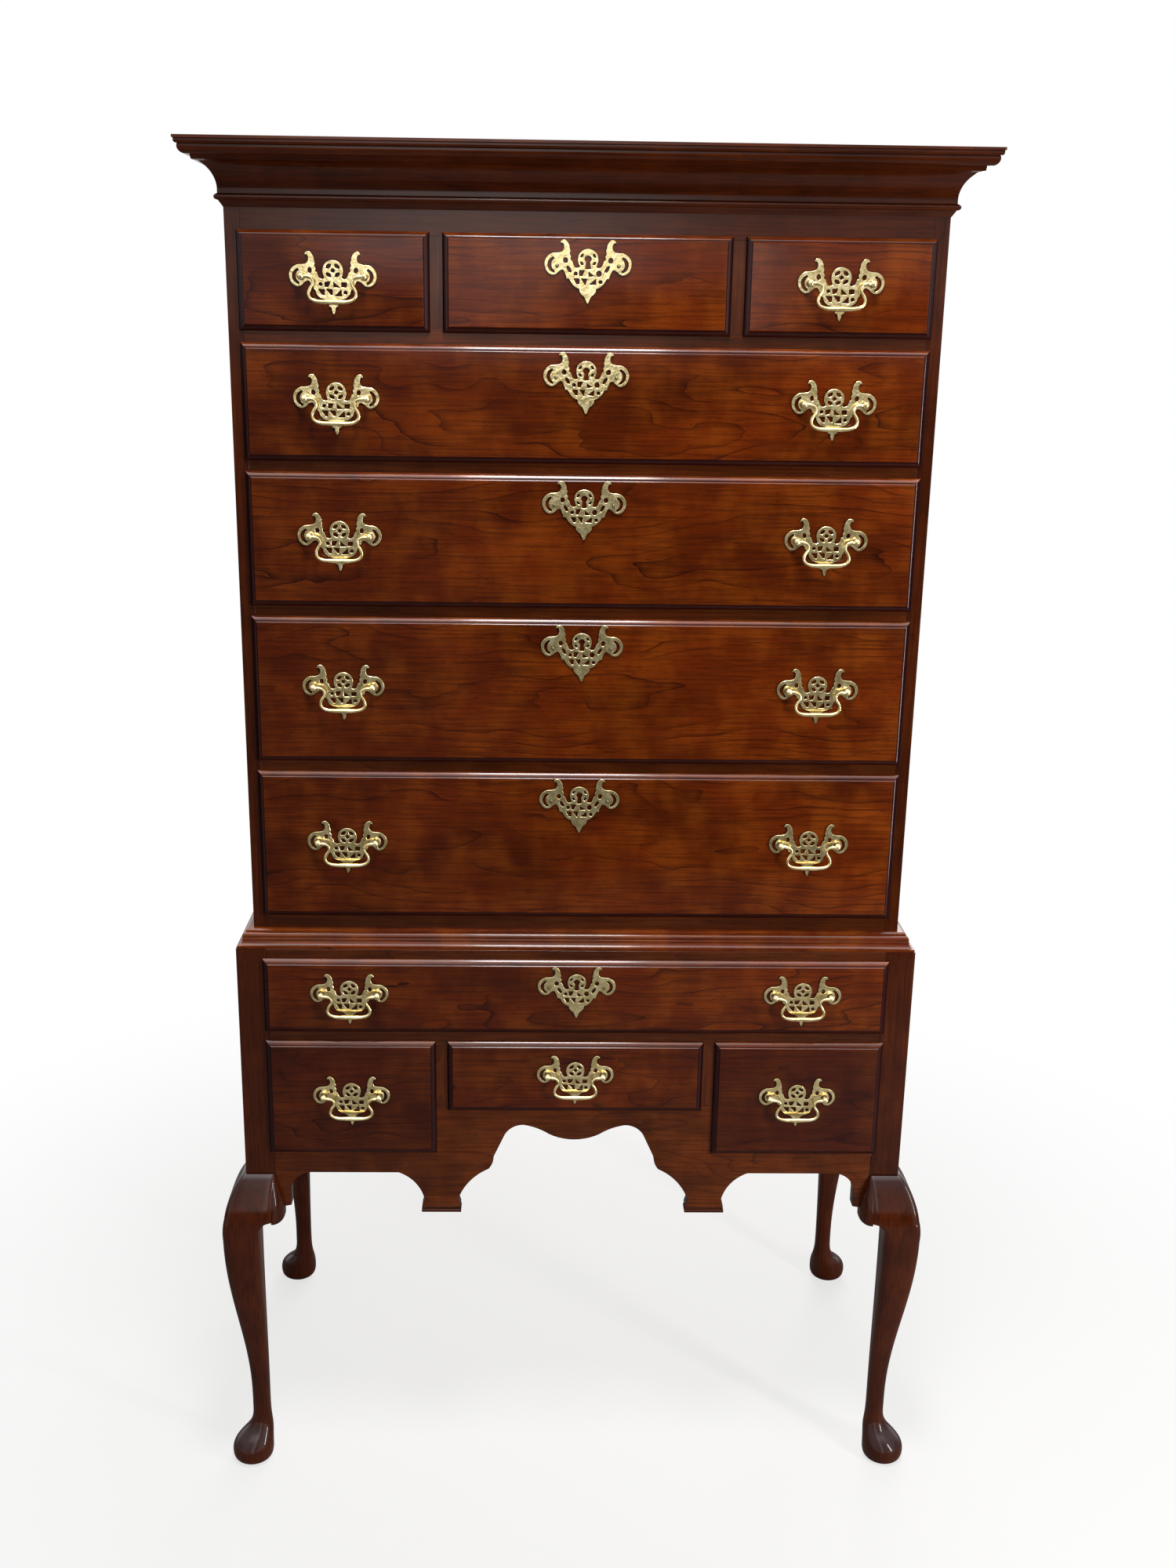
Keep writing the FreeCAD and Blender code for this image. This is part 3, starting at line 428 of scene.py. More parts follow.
# the foot's shape over its widest line: height, and how much further in each side has come
footKnots = np.array([(17, 0, 0), (22, 0.5, -0.1), (28, 3.2, 0.1), (33, 7.4, 0.3), (38, 12.6, 0.5),
                      (44, 19.5, 0.9), (50, 24.6, 1.7), (58, 28.0, 2.9), (68, 29.5, 3.8)])
powerKnots = np.array([(0, 2), (30, 2), (60, 2.1), (98, 2.5), (200, 3.2), (372, 4.6), (392, 7.5),
                       (464, 11)])


def legReach(height):
    # Reach outwards and inwards of the post's outer corner, and the power p of the section
    # |x|^p + |y|^p = 1, at each height: a round pad, a half cosine shin, a quarter sine knee.
    size = legSizes
    footOut = size["footRadius"] + size["footOffset"]
    footIn = size["footRadius"] - size["footOffset"]
    under = size["footRadius"] - size["footBase"]
    shinShare = np.clip((height - size["ankle"]) / (size["calf"] - size["ankle"]), 0, 1)
    kneeShare = np.clip((height - size["calf"]) / (size["kneeTop"] - size["calf"]), 0, 1)
    shin = size["ankleOut"] + (size["kneeOut"] - size["ankleOut"]) * (1 - np.cos(np.pi * shinShare)) / 2
    knee = size["kneeRise"] + (size["kneeOut"] - size["kneeRise"]) * np.sin(
        np.pi / 2 * (1 - kneeShare) ** size["kneePower"])
    out = np.where(height < size["calf"], shin, knee)
    coveRise = np.clip(height - size["coveFoot"], 0, size["cove"])
    inner = size["shinIn"] + (size["post"] - size["shinIn"]) / size["cove"] * (
        size["cove"] - np.sqrt(size["cove"] ** 2 - coveRise ** 2))
    # the pad foot: a quarter ellipse under its widest line, a dome over it, a cove to the ankle
    low = np.clip(height / size["footHeight"], 0, 1)
    belly = np.where(low < 1, under * (1 - np.sqrt(1 - (1 - low) ** size["bellyPower"])), 0)
    knots = [*footKnots[:, 0], 82, size["ankle"]]
    outKnots = [*(footOut - footKnots[:, 1]), size["ankleOut"] + 0.1, size["ankleOut"]]
    inKnots = [*(footIn - footKnots[:, 2]), size["shinIn"] + 0.1, size["shinIn"]]
    foot = height < size["ankle"]
    out = np.where(foot, np.interp(height, knots, outKnots) - belly, out)
    inner = np.where(foot, np.interp(height, knots, inKnots) - belly, inner)
    return out, inner, np.interp(height, *powerKnots.T)


def softened(values, times):
    # Each value moves to the mean of itself and its neighbours' mean, some times over.
    for _ in range(times):
        inside = values[1:-1] / 2 + (values[:-2] + values[2:]) / 4
        values = np.concatenate([values[:1], inside, values[-1:]])
    return values


def legPart(node):
    # Rings of x = middle + half * reach * cos, y the same with sin, whose reach
    # (|cos|^p + |sin|^p)^(-1/p) runs from a circle's to a square's; then the square post over the knee.
    size = legSizes
    low, high = placeOf(node)
    sideX, sideY = np.sign(low[:2] + high[:2])
    height = np.concatenate([np.linspace(*ring) for ring in size["rings"]])
    out, inner, power = legReach(height)
    out, inner = softened(out, 3), np.where(height < size["calf"], softened(inner, 3), inner)
    power = power[:, None]
    base = np.arange(size["around"]) / size["around"] * 2 * np.pi
    angle = base + size["crowding"] * np.sin(4 * base)
    cosine, sine = np.cos(angle)[None], np.sin(angle)[None]
    reach = (np.abs(cosine) ** power + np.abs(sine) ** power) ** (-1 / power)
    half = ((out + inner) / 2)[:, None]
    middle = ((inner - out) / 2)[:, None]
    limb = np.stack([middle + half * reach * cosine, middle + half * reach * sine,
                     np.repeat(height[:, None], size["around"], 1)], -1)
    postHeights = np.array([size["kneeTop"], size["kneeTop"] + 1, high[2]])[:, None]
    half, power = size["post"] / 2, size["postPower"]
    reach = (np.abs(cosine) ** power + np.abs(sine) ** power) ** (-1 / power)
    post = np.stack([np.repeat(half + half * reach * cosine, 3, 0),
                     np.repeat(half + half * reach * sine, 3, 0),
                     np.repeat(postHeights, size["around"], 1)], -1)
    grid = np.vstack([limb, post])
    grid[..., 0] = sideX * (size["halfWide"] - grid[..., 0])
    grid[..., 1] = sideY * (size["halfDeep"] - grid[..., 1])
    return wooden(surface(grid, wrap=True, caps=True), "zxy")


for legNode in ("leg_front_left", "leg_front_right", "leg_rear_left", "leg_rear_right"):
    makePiece(legNode.replace("leg_", "cabriole_"), [legPart(legNode)], caseCherry, "case",
              [legNode], smooth=40)
print("legs carved")


# Knee blocks carry the knee's curve on to the apron, one on each inner side of each knee.
blockSizes = {"top": 461, "bottom": 393, "wide": 11.5, "inset": 1.5, "round": 9, "root": 3.5,
              "behind": 6.0, "runOut": 20, "bulge": 1.5, "edge": 1.0, "tipWide": 0.45, "tipReach": 0.25}


def kneeBlock(sideX, sideY, swap):
    # In plan a quarter ellipse from the knee's inner arris back to the apron; its width grows
    # downwards as a sine and its foot is rounded off. The block starts inside the knee.
    size, leg = blockSizes, legSizes
    curl = size["bottom"] + size["round"]
    height = np.concatenate([size["bottom"] + size["round"] * (1 - np.cos(np.linspace(0, np.pi / 2, 12))),
                             np.linspace(curl + 2, size["top"], 22)])
    share = (size["top"] - height) / (size["top"] - size["bottom"] - size["runOut"])
    tip = np.sqrt(np.clip(1 - ((curl - height) / size["round"]).clip(0) ** 2, 0, 1))
    narrowed, drawnBack = [size[name] + (1 - size[name]) * tip for name in ("tipWide", "tipReach")]
    bulge = np.sin(np.pi / 2 * np.clip(share, 0, 1)) ** size["bulge"]
    wide = size["edge"] + size["wide"] * bulge * narrowed
    forward = (legReach(height)[0] - size["inset"]) * drawnBack
    angle = np.linspace(0, np.pi / 2, 14)[None]
    x = -size["root"] + (wide[:, None] + size["root"]) * np.sin(angle)
    y = forward[:, None] * np.cos(angle)
    back = np.full((len(height), 1), -size["behind"])
    x = np.hstack([x, x[:, -1:], np.full_like(back, -size["root"])])
    y = np.hstack([y, back, back])
    z = np.repeat(height[:, None], x.shape[1], 1)
    wideX, wideY, post = leg["halfWide"], leg["halfDeep"], leg["post"]
    if swap:
        grid = np.stack([sideX * (wideX + y), sideY * (wideY - post - x), z], -1)
    else:
        grid = np.stack([sideX * (wideX - post - x), sideY * (wideY + y), z], -1)
    return wooden(surface(grid, wrap=True, caps=True), "zxy")


blockParts = [kneeBlock(sideX, sideY, swap)
              for sideX in (-1, 1) for sideY in (-1, 1) for swap in (False, True)]
makePiece("knee_blocks_carved", blockParts, caseCherry, "case", ["knee_blocks"], smooth=50)
print("knee blocks carved")


# The frame that both cases have round their drawers: rails from post to post, two dividers
caseSizes = {"inner": 421, "railDeep": 45, "dividerIn": 172, "dividerOut": 197.5, "dividerDeep": 20,
             "deepTop": 503.5, "smallTop": 664.5, "longBottom": 688, "longTop": 785, "lowerTop": 803,
             "upperHalf": 440, "upperFront": -207, "upperBack": 229, "baseDeep": 19}
# bottom and top of the upper case's openings, from the highest row down
rowEdges = [(1614, 1722), (1457.5, 1590.5), (1274, 1434), (1067.5, 1250.5), (850, 1044)]


def frameParts(front, rails, dividerBottom, dividerTop):
    # A board for each rail's bottom, top and depth, and an upright board on each side of the middle.
    size = caseSizes
    parts = [board((-size["inner"], front, bottom), (size["inner"], front + deep, top), "xzy")
             for bottom, top, deep in rails]
    for side in (-1, 1):
        inside, outside = sorted([size["dividerIn"] * side, size["dividerOut"] * side])
        parts.append(board((inside, front, dividerBottom),
                           (outside, front + size["dividerDeep"], dividerTop), "zxy"))
    return parts


# The lower case
apronSizes = {"block": 11.5, "line": 465.5, "cove": 29, "drop": 187, "neck": 24, "foot": 27.5,
              "footLine": 411.5, "archTop": 540.5, "archDip": 518, "crest": 71, "ease": 0.8}


def bracketEnd(inner):
    # From the post inwards: the knee block's width, a step, and a cove up to the straight edge, whose
    # middle lies at 1 - cos 45 degrees of its radius.
    size = apronSizes
    edge, foot, line, cove = inner - size["block"], size["footLine"], size["line"], size["cove"]
    step, bow = edge - 10, cove * 0.293
    return [(inner, foot), (edge, foot), (step, foot + 2), (step, line - cove),
            (step - cove, line, step - bow, line - bow)]


def apronHalf():
    # From the post to the middle: bracket, straight edge, pendant drop, double-ogee arch.
    size = apronSizes
    line, foot, drop, crest = size["line"], size["footLine"], size["drop"], size["crest"]
    return bracketEnd(caseSizes["inner"]) + [
        (drop + 60, line), (drop + size["neck"], foot + 12, drop + 37, foot + 38),
        (drop + size["foot"], foot), (drop - size["foot"], foot), (drop - size["neck"], foot + 12),
        (drop - 67, line + 6, drop - 41, line - 13), (crest + 42, line + 25, crest + 44, line + 14),
        (crest + 28, size["archTop"] - 19), (crest, size["archTop"], crest + 17, size["archTop"] - 5),
        (crest / 2, size["archDip"] + 8.5, crest * 0.76, size["archTop"] - 4.5)]


def mirroredEntries(entries):
    # The same line with its first coordinate reversed, walked the other way.
    turned = []
    for at in range(len(entries) - 1, 0, -1):
        via = entries[at][2:]
        turned.append((-entries[at - 1][0], entries[at - 1][1]) + ((-via[0], via[1]) if via else ()))
    return turned


apronLow, apronHigh = placeOf("front_apron")
half = apronHalf()
dip = (-half[-1][0], half[-1][1], 0, apronSizes["archDip"])
inner, outer = caseSizes["inner"], caseSizes["dividerOut"]
deepTop, shallowTop = caseSizes["deepTop"], apronHigh[2]
apronLine = outline([(inner, deepTop)] + half + [dip] + mirroredEntries(half) + [
    (-inner, deepTop), (-outer, deepTop), (-outer, shallowTop), (outer, shallowTop), (outer, deepTop)])
apronBoard = sawnShape([apronLine], apronHigh[1] - apronLow[1], apronSizes["ease"])
makePiece("apron_scalloped", [wooden(standing(apronBoard, "xz", apronHigh[1]), "xzy")], apronCherry,
          "case", ["front_apron"])

# each pad is two steps: half its width, how far it is set in, and its bottom and top
padSteps = ((28, 0, 0, 4.25), (26.9, 1.1, 4.25, 8.5))
padLow, padHigh = placeOf("drop_pads")
padParts = []
for side in (-1, 1):
    middle = apronSizes["drop"] * side
    for wide, inset, bottom, top in padSteps:
        padParts.append(board((middle - wide, padLow[1] + inset, padLow[2] + bottom),
                              (middle + wide, padHigh[1] - inset, padLow[2] + top), "xyz"))
makePiece("drop_pads_turned", padParts, caseCherry, "case", ["drop_pads"], ease=0.7)

for sideNode in ("lower_side_left", "lower_side_right"):
    low, high = placeOf(sideNode)
    end = bracketEnd(high[1])
    across = (-end[-1][0], end[-1][1])
    sideLine = outline([(high[1], high[2])] + end + [across] + mirroredEntries(end) + [(low[1], high[2])])
    shape = standing(sawnShape([sideLine], high[0] - low[0], apronSizes["ease"]), "yz", low[0])
    makePiece(sideNode + "_board", [wooden(shape, "yzx")], caseCherry, "case", [sideNode])

lowerRails = [(caseSizes["longTop"], caseSizes["lowerTop"], caseSizes["railDeep"]),
              (caseSizes["smallTop"], caseSizes["longBottom"], caseSizes["railDeep"])]
lowerFrame = frameParts(placeOf("lower_rails")[0][1], lowerRails, shallowTop, caseSizes["smallTop"])
makePiece("lower_rails_fitted", lowerFrame, railCherry, "case", ["lower_rails"], ease=0.4)
print("lower case made")


# Mouldings run along the front and both sides, mitred at the front corners. A profile's points are
# reach and rise; where there are four numbers, an arc comes to the point through the second pair.
corniceProfile = [(0, 0), (0, -76), (5, -68.5), (6.9, -68.1), (8.4, -62.6, 9.3, -65.4), (5.5, -60.6),
                  (5.5, -58), (23.5, -26, 10.4, -38.5), (30, -25), (31, -19.8), (37, -19.8),
                  (42.5, -8.5, 42.6, -15.3), (46.4, -5.4, 45.6, -8.2), (46.6, -3.6), (48, -3.2), (48, 0)]
waistProfile = [(0, 0), (20.5, 0), (20.5, 3.6), (18, 3.6), (14, 11.5, 14.8, 6.6), (13.2, 13.2),
                (9.6, 19.8, 12.6, 18), (9.2, 22.4), (6.6, 24), (0, 24)]


def mouldingParts(profile, level):
    # Each point of the profile is carried along the upper case at its own reach, to the mitres.
    half, front, back = caseSizes["upperHalf"], caseSizes["upperFront"], caseSizes["upperBack"]
    reach, rise = outline(profile, 12).T
    parts = []
    for side in (-1, 0, 1):
        if side == 0:
            starts = np.stack([-half - reach, front - reach, level + rise], -1)
            ends = np.stack([half + reach, front - reach, level + rise], -1)
        else:
            starts = np.stack([side * (half + reach), front - reach, level + rise], -1)
            ends = np.stack([side * (half + reach), np.full_like(reach, back), level + rise], -1)
        run = surface(np.stack([starts, ends]), wrap=True, caps=True)
        parts.append(wooden(run, "xzy" if side == 0 else "yzx"))
    return parts


makePiece("cornice_run", mouldingParts(corniceProfile, placeOf("cornice")[1][2]), caseCherry,
          "case", ["cornice"], smooth=24)
makePiece("waist_run", mouldingParts(waistProfile, caseSizes["lowerTop"]), drawerCherry,
          "case", ["waist_moulding"], smooth=24)

# The upper case
for sideNode in ("upper_side_left", "upper_side_right"):
    makePiece(sideNode + "_board", [board(*placeOf(sideNode), "zyx")], caseCherry, "case",
              [sideNode], ease=0.7)
makePiece("frieze_board_fitted", [board(*placeOf("frieze_board"), "xzy")], caseCherry,
          "case", ["frieze_board"], ease=0.3)
upperRails = [(caseSizes["lowerTop"], rowEdges[-1][0], caseSizes["baseDeep"])] + [
    (below[1], above[0], caseSizes["railDeep"]) for above, below in zip(rowEdges, rowEdges[1:])]
upperFrame = frameParts(caseSizes["upperFront"], upperRails, *rowEdges[0])
makePiece("upper_rails_fitted", upperFrame, railCherry, "case", ["upper_rails"], ease=0.4)
print("upper case made")


# Drawers: a lipped cherry front over a dovetailed poplar box
drawerSizes = {"lip": 5, "field": 1.2, "lipThick": 6, "border": 7.5, "quirk": 5.9, "quirkHalf": 0.7,
               "mitre": 0.2, "shade": 0.26, "front": 15, "side": 11, "back": 11, "bottom": 6,
               "rise": 9, "groove": 5, "sideGap": 1.5, "topGap": 2, "sideDrop": 3, "lap": 5,
               "tail": 30, "narrow": 0.3, "flare": 2.2, "proud": 0.25, "clear": 0.3, "sunk": 0.2,
               "overlap": 0.4, "ease": 0.25}
lipProfile = [(0, 7.2), (0, 6.2), (0.25, 5.75), (5.3, 1.4, 2.5, 3.25), (6.5, 1.28),
              (7.7, 0.06, 7.0, 0.62), (8.4, 0)]


def frontPart(low, high, paintedFrontShade):
    # The lip's profile, inset from the edge and depth behind the field, carried round the front. A
    # corner is three columns, the outer two beside the mitre; each has its x, z, the ways inwards,
    # and how dark it is made: toner and painted shade on the side lips, painted shade on the bottom lip;
    # the top lip has none, but its quirk has painted shade.
    size = drawerSizes
    inset, depth = outline(lipProfile, 7).T[:, :, None]
    near, left, right, foot, head = size["mitre"], low[0], high[0], low[2], high[2]
    columns = np.array([
        (left, foot + near, 1, 1, 1), (left, foot, 1, 1, 1), (left + near, foot, 1, 1, 1),
        (right - near, foot, -1, 1, 1), (right, foot, -1, 1, 1), (right, foot + near, -1, 1, 1),
        (right, head - near, -1, -1, 1), (right, head, -1, -1, 0.5), (right - near, head, -1, -1, 0),
        (left + near, head, 1, -1, 0), (left, head, 1, -1, 0.5), (left, head - near, 1, -1, 1)])
    x, z, inX, inZ, lipTonerAndShade = columns.T[:, None]
    grid = np.stack([x + inset * inX, low[1] + depth + 0 * x, z + inset * inZ], -1)
    # painted shade in the quirk, the groove between the lip and the field
    quirk = (np.abs(inset - size["quirk"]) < size["quirkHalf"]) * 1.0
    # painted shade: the fronts are made a little darker towards the left, standing in for light that falls
    # off there
    paintedFieldShade = paintedFrontShade + size["shade"] * (0.5 - grid[..., 0] / (2 * caseSizes["upperHalf"]))
    # toner and painted shade on the lips, painted shade in the quirks and across the fields
    toned = np.where(inset < size["border"], np.maximum(lipTonerAndShade, quirk), paintedFieldShade)
    return *surface(grid, wrap=True, caps=True), toned.ravel()


def tails(middles, root, tip, narrow, flare):
    # Dovetails about their middles, four points each: narrow each way at the root, and flare more at
    # the tip.
    heights = middles[:, None] + [-narrow, -narrow - flare, narrow + flare, narrow]
    reaches = np.broadcast_to([root, tip, tip, root], heights.shape)
    return np.stack([reaches, heights], -1).reshape(-1, 2)


def tailedSide(yStart, yEnd, low, high):
    # A side's outline: dovetails flare into the front, going up, and into the back, going down.
    size = drawerSizes
    count = max(2, int(round((high - low) / size["tail"])))
    pitch = (high - low) / count
    steps = pitch * (np.arange(count) + 0.5)
    narrow, flare = pitch * size["narrow"], size["flare"]
    frontTip, backRoot = yStart - size["front"] + size["lap"], yEnd - size["back"]
    return np.vstack([[(yStart, low)], tails(low + steps, yStart, frontTip, narrow, flare),
                      [(yStart, high), (backRoot, high)],
                      tails(high - steps, backRoot, yEnd, -narrow, -flare), [(backRoot, low)]])


def drawerBox(low, high):
    # Two dovetailed sides, the back and the bottom; the front block is shorter by a hair each side.
    size = drawerSizes
    left, right = low[0] + size["lip"] + size["sideGap"], high[0] - size["lip"] - size["sideGap"]
    faceBack = low[1] + size["field"] + size["lipThick"] + size["clear"]
    yStart, yEnd = faceBack + size["front"], high[1]
    boxLow = low[2] + size["lip"] + size["clear"]
    blockHigh = high[2] - size["lip"] - size["topGap"]
    boxHigh = blockHigh - size["sideDrop"]
    parts = []
    for outer, inner in ((left, left + size["side"]), (right - size["side"], right)):
        line = tailedSide(yStart, yEnd, boxLow, boxHigh)
        sawn = sawnShape([line], inner - outer, size["ease"], 0)
        parts.append(wooden(standing(sawn, "yz", outer), "yzx"))
    bottomLow = boxLow + size["rise"]
    bottomHigh = bottomLow + size["bottom"]
    grooveIn = size["side"] - size["groove"]
    parts.append(board((left + size["proud"], yEnd - size["back"] + size["sunk"], bottomHigh),
                       (right - size["proud"], yEnd - size["sunk"], boxHigh), "xzy"))
    parts.append(board((left + grooveIn, yStart - size["groove"], bottomLow),
                       (right - grooveIn, yEnd - size["overlap"], bottomHigh), "xyz"))
    block = board((left + size["proud"], faceBack - size["overlap"], boxLow),
                  (right - size["proud"], yStart, blockHigh), "xzy")
    return parts, block


# painted shade: the lower fronts and the top left one are made darker, standing in for weaker light there
paintedFrontShade = {"top_left": 0.12, "lower_long": 0.08, "lower_left": 0.34, "lower_centre": 0.14,
              "lower_right": 0.6}
drawerNames = ["top_left", "top_centre", "top_right", "second", "third", "fourth", "fifth", "lower_long",
               "lower_left", "lower_centre", "lower_right"]
for drawerName in drawerNames:
    node = "drawer_" + drawerName
    low, high = placeOf(node)
    boxParts, block = drawerBox(low, high)
    # the front's face and the block behind it are one board
    centre = np.array([(low[0] + high[0]) / 2, low[1], (low[2] + high[2]) / 2])
    own = ownPlace()
    points, faces, toned = frontPart(low, high, paintedFrontShade.get(drawerName, 0.0))
    face, rear = [wooden(shape, "xzy", centre, own) for shape in ((points, faces), block[:2])]
    # the front carries its toner and painted shade; the block behind it has none
    face[2]["toned"] = toned
    rear[2]["toned"] = np.zeros(len(block[0]))
    makePiece("front_" + drawerName, [face, rear], drawerCherry, node, [node], smooth=24)
    makePiece("box_" + drawerName, boxParts, bareWood, node, smooth=30)
print("drawers made")


# Brasses: heights are from the line through the two posts
plateSizes = {"boring": 76.2, "thick": 2.0, "bevel": 0.52, "bevelRise": 0.4, "nip": 0.5, "filed": 1.1,
              "lift": 5.5, "pin": 11.6, "keyDrop": 36, "nail": 37.4, "nailDrop": 1.4,
              "ring": (0, 11.0, 9.9), "collar": (0.6, 6.2, 7.4), "clean": 0.97, "fading": 0.17}
# A plate's right half, from the top down; a knot with a third value is a corner.
earHorn = [(21.2, 6.3), (20.6, 9.4), (22.2, 12.4, 1), (21.4, 16.0), (22.4, 19.0, 1), (22.6, 21.8),
           (24.2, 25.2), (26.8, 28.2), (30.2, 29.0), (33.0, 27.6), (34.0, 24.4, 1), (32.0, 25.2),
           (30.2, 23.6), (29.6, 19.6), (31.6, 15.6), (36.5, 14.0), (43.5, 13.4), (48.8, 10.4),
           (52.2, 5.6), (53.1, 0), (51.6, -5.5), (48.3, -9.8), (43.4, -12.0), (38.8, -11.0),
           (35.2, -8.0)]
pullHalf = [(0, 19.2), (6.8, 17.2), (11.2, 12.6), (12.6, 6.6), (11.8, 1.6), (10.4, -1.8, 1), (13.6, -2.8),
            (16.6, -1.4), (18.0, 1.2), (19.0, 4.4, 1)] + earHorn + [
            (32.4, -6.0), (29.6, -5.4), (27.6, -7.4), (26.6, -10.4, 1), (24.2, -11.6), (23.6, -14.6),
            (21.6, -16.4, 1), (20.8, -19.6), (18.8, -22.8), (15.0, -25.6), (10.0, -27.2), (7.6, -28.6, 1),
            (4.8, -32.0), (6.2, -34.8, 1), (2.8, -36.6), (2.3, -39.6), (1.2, -43.0), (0, -44.2)]
keyHalf = [(0, 18.4), (6.8, 16.6), (11.2, 12.2), (12.6, 6.2), (11.8, 1.4), (10.2, -2.4, 1), (13.2, -3.6),
           (16.2, -2.2), (17.8, 0.8), (19.0, 4.2, 1)] + earHorn + [
           (32.4, -6.2), (30.0, -6.4), (28.4, -9.4), (26.6, -14.0), (26.2, -16.6, 1), (23.6, -16.4),
           (21.6, -18.8), (19.2, -22.6), (15.2, -26.0), (10.4, -28.2, 1), (10.0, -31.5), (7.8, -34.6),
           (4.4, -37.4), (2.8, -40.6), (1.3, -44.2), (0, -45.4)]


def wholeLine(halfKnots):
    # The right half, then its mirror image back to the start.
    mirrored = [(-knot[0],) + tuple(knot[1:]) for knot in halfKnots[-2:0:-1]]
    return smoothLine(halfKnots + mirrored, 4)


def ovalHole(centre, wide, tall, lean=0.0, steps=14, point=1.0):
    # An ellipse turned by lean degrees; a point above 1 draws its long ends to points.
    angle = np.arange(steps) / steps * 2 * np.pi
    x = wide / 2 * np.cos(angle)
    z = tall / 2 * np.sign(np.sin(angle)) * np.abs(np.sin(angle)) ** point
    turn = math.radians(lean)
    return np.stack([centre[0] + x * math.cos(turn) - z * math.sin(turn),
                     centre[1] + x * math.sin(turn) + z * math.cos(turn)], -1)


def crescent(side):
    # A gap between the ear's ring and the post's collar: an ellipse's arc out along the one and
    # another's back along the other, each with its offset from the post and its two radii.
    pin = plateSizes["boring"] / 2
    angle = np.radians(np.linspace(-72, 68, 14))
    arcs = [np.stack([pin + offset + wide * np.cos(turn), tall * np.sin(turn)], -1)
            for (offset, wide, tall), turn in ((plateSizes["ring"], angle),
                                               (plateSizes["collar"], angle[::-1]))]
    return np.vstack(arcs) * [side, 1]


def corneredHole(knots):
    # Straight sides; each corner is cut back along both of its sides by the width of the saw.
    knots = np.array(knots, float)
    knots = knots.mean(0) + (knots - knots.mean(0)) * plateSizes["filed"]
    ends = []
    for step in (1, -1):
        side = np.roll(knots, step, 0) - knots
        ends.append(knots + plateSizes["nip"] * side / np.linalg.norm(side, axis=1, keepdims=True))
    return np.stack(ends, 1).reshape(-1, 2)


# the cells between the bars of each plate, and its keyhole
pullCells = [[(-10.2, -6.6), (-3.6, -6.4), (-5.8, -11.8), (-9.8, -12.2)],
             [(0.6, -6.6), (7.6, -12.8), (0.8, -12.8)],
             [(10.6, -7.0), (16.2, -7.2), (16.2, -12.2), (10.6, -12.4)],
             [(-18.0, -15.0), (-10.6, -15.4), (-10.8, -21.8), (-13.6, -21.4)],
             [(-8.2, -14.9), (-1.0, -15.3), (-0.8, -21.0), (-3.0, -21.4)],
             [(2.4, -22.8), (9.6, -15.8), (10.4, -22.8)]]
keyCells = [[(-10.4, -6.6), (-4.4, -6.8), (-7.2, -13.2), (-10.4, -12.2)],
            [(1.0, -8.4), (7.8, -13.2), (1.2, -13.6)],
            [(-17.0, -16.4), (-10.6, -16.4), (-10.6, -22.6), (-13.4, -22.4)],
            [(-8.0, -16.2), (-1.4, -16.4), (-3.0, -23.4)],
            [(2.0, -22.8), (9.6, -16.6), (9.8, -23.0)]]
keyhole = [(0, 10.6), (3.2, 9.0), (3.9, 5.8), (2.4, 3.2), (3.2, -4.4, 1), (0, -5.2), (-3.2, -4.4, 1),
           (-2.4, 3.2), (-3.9, 5.8), (-3.2, 9.0)]
diamond = [(0, 9.5), (2.8, 6.8), (0, 4.1), (-2.8, 6.8)]
pullHoles = [corneredHole(cell) for cell in pullCells] + [
    ovalHole((-15.2, -9.2), 4.4, 4.4), ovalHole((15.0, -18.8), 4.4, 4.4), corneredHole(diamond)]
keyHoles = [corneredHole(cell) for cell in keyCells] + [
    ovalHole((-15.0, -10.4), 4.6, 4.6), ovalHole((15.4, -20.0), 4.4, 4.4),
    ovalHole((13.4, -10.2), 6.2, 7.0), smoothLine(keyhole, 4)]
for side in (-1, 1):
    pullHoles += [crescent(side), ovalHole((28.0 * side, 7.0), 5.0, 6.6, -10 * side),
                  ovalHole((5.2 * side, 11.8), 7.6, 4.5, -38 * side, 12, 1.3),
                  ovalHole((5.2 * side, 1.8), 7.6, 4.5, 38 * side, 12, 1.3)]
    keyHoles += [crescent(side), ovalHole((27.4 * side, 5.0), 5.6, 6.6, -10 * side),
                 ovalHole((23.2 * side, -5.2), 4.0, 9.0, -32 * side),
                 ovalHole((7.5 * side, 10.6), 5.4, 2.8, -52 * side, 12, 1.3),
                 ovalHole((7.6 * side, 1.6), 5.0, 2.8, 52 * side, 12, 1.3)]
thick, bevel, bevelRise = [plateSizes[name] for name in ("thick", "bevel", "bevelRise")]
pullPlate, keyPlate = [sawnShape([wholeLine(half)] + holes, thick, bevel, 0, bevelRise)
                       for half, holes in ((pullHalf, pullHoles), (keyHalf, keyHoles))]
print("plates pierced:", len(pullPlate[1]), "and", len(keyPlate[1]), "faces")


def castPart(shape, centre, tarnish):
    # A casting moved to its place, its faces turned out.
    points = shape[0] + centre
    return points, turnOut(points, shape[1]), {"tarnish": tarnish}


def mounted(shape, centre):
    # A flat plate against the drawer: its back at the face, tarnish growing from its front edge back.
    shape = standing(shape, "xz", 0.0)
    thick = plateSizes["thick"]
    behind = shape[0][:, 1] + thick * plateSizes["clean"]
    tarnish = np.clip(behind / (thick * plateSizes["fading"]), 0, 1)
    return castPart(shape, centre, tarnish)


